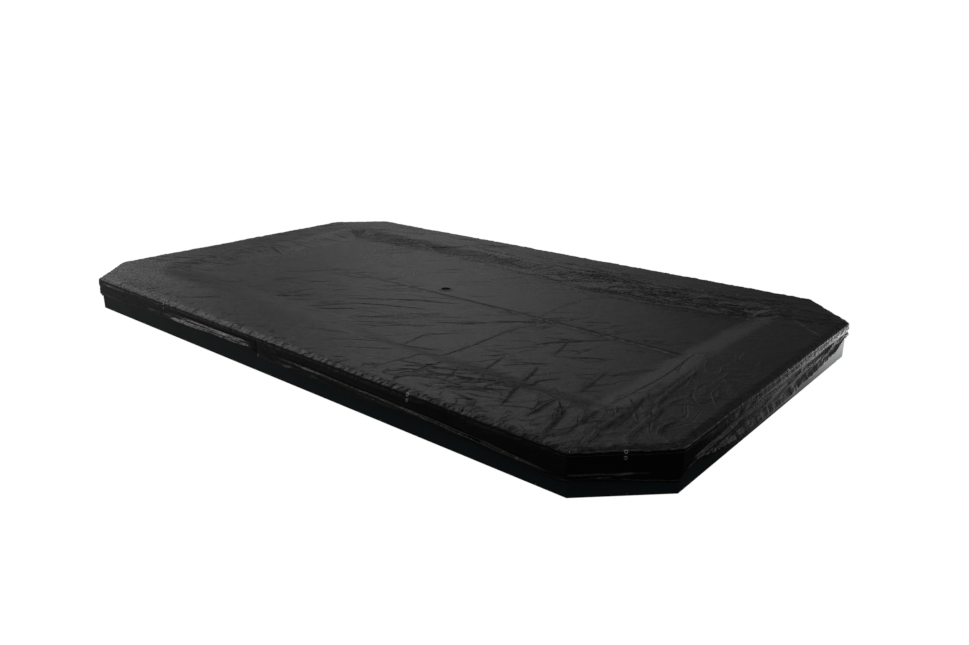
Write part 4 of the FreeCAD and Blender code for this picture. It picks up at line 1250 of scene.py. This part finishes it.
webPlace, webOut = walkOutline(0.335, 0.012, 0.02)[:2]
webRun = np.concatenate([[0.0], np.cumsum(np.hypot(*np.diff(webPlace, axis=0).T))])
webSection = np.array([(0.0165, 0.0), (0.0155, 0.0016), (0.010, 0.0021), (0.0, 0.0018), (-0.010, 0.0021),
                       (-0.0165, 0.0012),
                       (-0.0165, -0.0012), (-0.010, -0.0021), (0.0, -0.0018), (0.010, -0.0021),
                       (0.0155, -0.0016)])
web = outlineBand("matWebbing", webPlace, webOut, np.full(len(webRun), 0.186), webSection, webRun)
finish(web, webbing, "mat", "mat_webbing", "mat_webbing")
stitch = []
for offset in (0.0075, -0.0115):
    stitch.append(outlineBand(f"matStitch{len(stitch)}", webPlace + webOut * offset, webOut,
                              0.1881 + 0.0004 * np.sin(webRun * 900.0), roundSection(0.0006, 0.0004, 5),
                              webRun))
    finish(stitch[-1], threadCloth, "mat", "mat_webbing")
print("springs and mat made")


# ---- edge pads ----
padShape = {"outer": 0.024, "inner": 0.428, "bottom": 0.2005, "top": 0.2325, "gap": 0.0016}


# a pad for one side: a closed round-edged section carried along it, drawn in at sewn channels and both ends
def padMesh(k, name):
    middle, along, inward = sideAxes(k)
    wide = padShape["inner"] - padShape["outer"]
    sides, rows = 44, max(14, int(2 * halves[k] / 0.03))
    t = np.linspace(0.0, 2 * math.pi, sides, endpoint=False)
    power = 0.34
    across = np.sign(np.cos(t)) * np.abs(np.cos(t)) ** power
    upward = np.sign(np.sin(t)) * np.abs(np.sin(t)) ** 0.75
    s = np.linspace(-1.0, 1.0, rows)
    s = np.sign(s) * (1 - (1 - np.abs(s)) ** 1.15)
    inset = (padShape["outer"] + padShape["inner"]) / 2 + across * wide / 2
    limit = halves[k] - mitre * inset - padShape["gap"]
    endFade = np.sqrt(np.clip(1 - np.abs(s) ** 24, 0.02, 1))
    length = np.abs(s[:, None]) * limit[None, :]
    channel = 1 - 0.30 * np.exp(-((((s[:, None] * limit[None,
                                                        :]) / 0.55 + 0.5) % 1 - 0.5) * 0.55
                                  / 0.012) ** 2) if halves[k] > 0.5 else 1.0
    tall = (padShape["top"] - padShape["bottom"]) / 2
    crown = 0.90 + 0.10 * np.cos(across * math.pi / 2)
    x = s[:, None] * limit[None, :]
    swell = softNoise(x * 5.0, inset[None, :] * 12.0 + k * 9, 81) * 0.0012
    z = (padShape["top"] + padShape["bottom"]) / 2 + upward[None,
                                                            :] * (tall * crown * endFade[:, None] * channel
                                                                     + np.where(upward > 0.2, 1, 0)[None,
                                                                             :] * swell)
    z = np.clip(z, padShape["bottom"], padShape["top"])
    points = middle + along * x[..., None] + inward * np.broadcast_to(inset, x.shape)[..., None]
    points[..., 2] = z
    uv = np.stack(np.broadcast_arrays(x, inset[None, :] + np.where(upward > 0, 0, 0.5)[None, :]), -1)
    piece = gridObject(name, points, wrapU=True, uv=uv)
    work = bmesh.new()
    work.from_mesh(piece.data)
    work.verts.ensure_lookup_table()
    for row in (0, rows - 1):
        bmesh.ops.contextual_create(work, geom=[work.verts[row * sides + i] for i in range(sides)])
    bmesh.ops.recalc_face_normals(work, faces=work.faces)
    work.to_mesh(piece.data)
    work.free()
    return piece


padNodes = ["front", "corners", "right", "corners", "back", "corners", "left", "corners"]
for k in range(8):
    pad = padMesh(k, "pad" + sideNames[k])
    finish(pad, padVinyl, "frame", "pad_vinyl", "pad_skin_" + padNodes[k], "pad_foam_" + padNodes[k])

# straps that hold the pads: a flat loop from the pad down round the ring tube
strapShape = {"width": 0.025, "thick": 0.0014}
strapSpots = [[-1.75, -1.3, -0.7, -0.25, 0.25, 0.7, 1.3, 1.75], [-0.11], [-0.7, -0.3, 0.3, 0.7], [-0.11]] * 2
turn = np.linspace(math.radians(88), math.radians(452), 34)
loop = np.stack([0.045 - np.cos(turn) * 0.0262, 0.175 + np.sin(turn) * 0.0262],
                1)   # inset, height round the tube
loop[:, 1] = np.minimum(loop[:, 1], 0.2010)
inner = np.stack([0.045 - np.cos(turn) * (0.0262 - strapShape["thick"]),
                  0.175 + np.sin(turn) * (0.0262 - strapShape["thick"])], 1)
inner[:, 1] = np.minimum(inner[:, 1], 0.2008)
vertices, quads, start = [], [], 0
for k in range(8):
    middle, along, inward = sideAxes(k)
    for spot in strapSpots[k]:
        rings = np.stack([np.stack([np.full(34, spot + side * strapShape["width"] / 2), line[:, 0],
                                    line[:, 1]], 1)
                          for side, line in ((-1, loop), (1, loop), (1, inner), (-1, inner))], 1)
        points = middle + rings[..., 0:1] * along + rings[..., 1:2] * inward + rings[...,
                2:3] * np.array([0, 0, 1.0])
        quads.append(gridQuads(34, 4, wrapU=True, start=start))
        quads.append(np.array([[start + 3, start + 2, start + 1, start],
                               [start + 132, start + 133, start + 134, start + 135]]))
        vertices.append(points.reshape(-1, 3))
        start += 136
strapPoints = np.concatenate(vertices)
straps = faceObject("padStraps", strapPoints, np.concatenate(quads),
                    uv=strapPoints[:, [0, 1]] + strapPoints[:, [2, 2]], smooth=False)
finish(straps, webbing, "frame", "strap_webbing", "pad_straps")
print("pads made")


# ---- floor, lights ----
studio = {
    "floorColour": (0.80, 0.80, 0.80),
    "floorDark": 0.012,    # what the object sees of the floor: dark by the near corner,
    "floorLeft": 0.13,     # lighter to the left and bright in a strip
    "floorRight": 3.2,     # along the far part of the right side
    "ambient": 0.074,
    # soft bright parts of the surround: azimuth, elevation, half widths both ways (degrees), strength
    "glows": [(136, 12, 10, 8, 0.22), (123, 12, 10, 8, 0.16), (137, 31, 10, 7, 1.25), (123, 46, 10, 8, 1.2),
              (163, 28, 10, 9, 2.2), (194, 28, 13, 11, 2.6), (-60, 28, 38, 13, 0.42), (35, 33, 32, 13, 0.42),
              (228, 36, 26, 11, 0.30), (210, 2, 30, 8, 0.12), (60, 6, 9, 8, 0.7),
              (-35, 0, 55, 40, -0.07), (-15, 55, 22, 10, 1.2)],
}


# white to the camera; to everything else dark, lighter to the left and bright in a strip by the right side
def floorPiece():
    size = 60.0
    piece = gridObject("floor", np.array([[(-size, -size, 0.0), (size, -size, 0.0)],
                                          [(-size, size, 0.0), (size, size, 0.0)]]),
                       smooth=False)
    material = bpy.data.materials.new("floorPaint")
    material.use_nodes = True
    tree = material.node_tree
    tree.nodes.remove(tree.nodes["Principled BSDF"])
    pale = addNode(tree, "ShaderNodeBsdfDiffuse", None, Color=(*studio["floorColour"], 1))
    way = addNode(tree, "ShaderNodeSeparateXYZ", None,
                  Vector=tree.nodes.new("ShaderNodeTexCoord").outputs["Object"])
    left = spanNode(tree, way.outputs["X"], 2.6, -2.6, studio["floorDark"], studio["floorLeft"])
    away = spanNode(tree, way.outputs["Y"], -0.9, 1.7, 0.0, 1.0)
    far = mathNode(tree, "MULTIPLY", mathNode(tree, "MULTIPLY", mathNode(tree, "POWER", away, 2.5),
                                              studio["floorRight"]),
                   mathNode(tree, "MULTIPLY", spanNode(tree, way.outputs["X"], 1.6, 2.7, 0.0, 1.0),
                            spanNode(tree, way.outputs["X"], 2.70, 2.90, 1.0, 0.06)))
    dim = addNode(tree, "ShaderNodeEmission", None, Color=(1, 1, 1, 1),
                  Strength=mathNode(tree, "ADD", left, far))
    white = addNode(tree, "ShaderNodeEmission", None, Color=(1, 1, 1, 1), Strength=1.02)
    seen = addNode(tree, "ShaderNodeMixShader", None, Fac=0.975)
    tree.links.new(pale.outputs[0], seen.inputs[1])
    tree.links.new(white.outputs[0], seen.inputs[2])
    ray = tree.nodes.new("ShaderNodeLightPath")
    both = addNode(tree, "ShaderNodeMixShader")
    tree.links.new(ray.outputs["Is Camera Ray"], both.inputs["Fac"])
    tree.links.new(dim.outputs[0], both.inputs[1])
    tree.links.new(seen.outputs[0], both.inputs[2])
    tree.links.new(both.outputs[0], tree.nodes["Material Output"].inputs["Surface"])
    piece.data.materials.append(material)


floorPiece()


# the surround: ambient + sum of strength * exp(-(azimuth off / wide)^2) * exp(-(elevation off / tall)^2);
# white to the camera
def surround():
    world = bpy.data.worlds.new("studio")
    bpy.context.scene.world = world
    world.use_nodes = True
    tree = world.node_tree
    tree.nodes.clear()
    way = addNode(tree, "ShaderNodeSeparateXYZ", None,
                  Vector=tree.nodes.new("ShaderNodeTexCoord").outputs["Generated"])
    x, y, up = (way.outputs[label] for label in "XYZ")
    elevation = mathNode(tree, "ARCSINE", up)

    def fallOff(value, width):
        share = mathNode(tree, "DIVIDE", value, math.radians(width))
        return mathNode(tree, "EXPONENT", mathNode(tree, "MULTIPLY",
                                                   mathNode(tree, "MULTIPLY", share, share), -1.0))

    total = studio["ambient"]
    for azimuth, height, wide, tall, strength in studio["glows"]:
        c, s = math.cos(math.radians(azimuth)), math.sin(math.radians(azimuth))
        ahead = mathNode(tree, "ADD", mathNode(tree, "MULTIPLY", x, c), mathNode(tree, "MULTIPLY", y, s))
        aside = mathNode(tree, "SUBTRACT", mathNode(tree, "MULTIPLY", y, c), mathNode(tree, "MULTIPLY", x, s))
        across = fallOff(mathNode(tree, "ARCTAN2", aside, ahead), wide)
        upright = fallOff(mathNode(tree, "SUBTRACT", elevation, math.radians(height)), tall)
        glow = mathNode(tree, "MULTIPLY", mathNode(tree, "MULTIPLY", across, upright), strength)
        total = mathNode(tree, "ADD", glow, total)
    soft = addNode(tree, "ShaderNodeBackground", None, Color=(1.0, 1.0, 1.0, 1), Strength=total)
    white = addNode(tree, "ShaderNodeBackground", None, Color=(1, 1, 1, 1), Strength=1.02)
    ray = tree.nodes.new("ShaderNodeLightPath")
    both = addNode(tree, "ShaderNodeMixShader")
    tree.links.new(ray.outputs["Is Camera Ray"], both.inputs["Fac"])
    tree.links.new(soft.outputs[0], both.inputs[1])
    tree.links.new(white.outputs[0], both.inputs[2])
    out = tree.nodes.new("ShaderNodeOutputWorld")
    tree.links.new(both.outputs[0], out.inputs["Surface"])


surround()
print("stage set")

bpy.context.scene.view_settings.view_transform = "Standard"
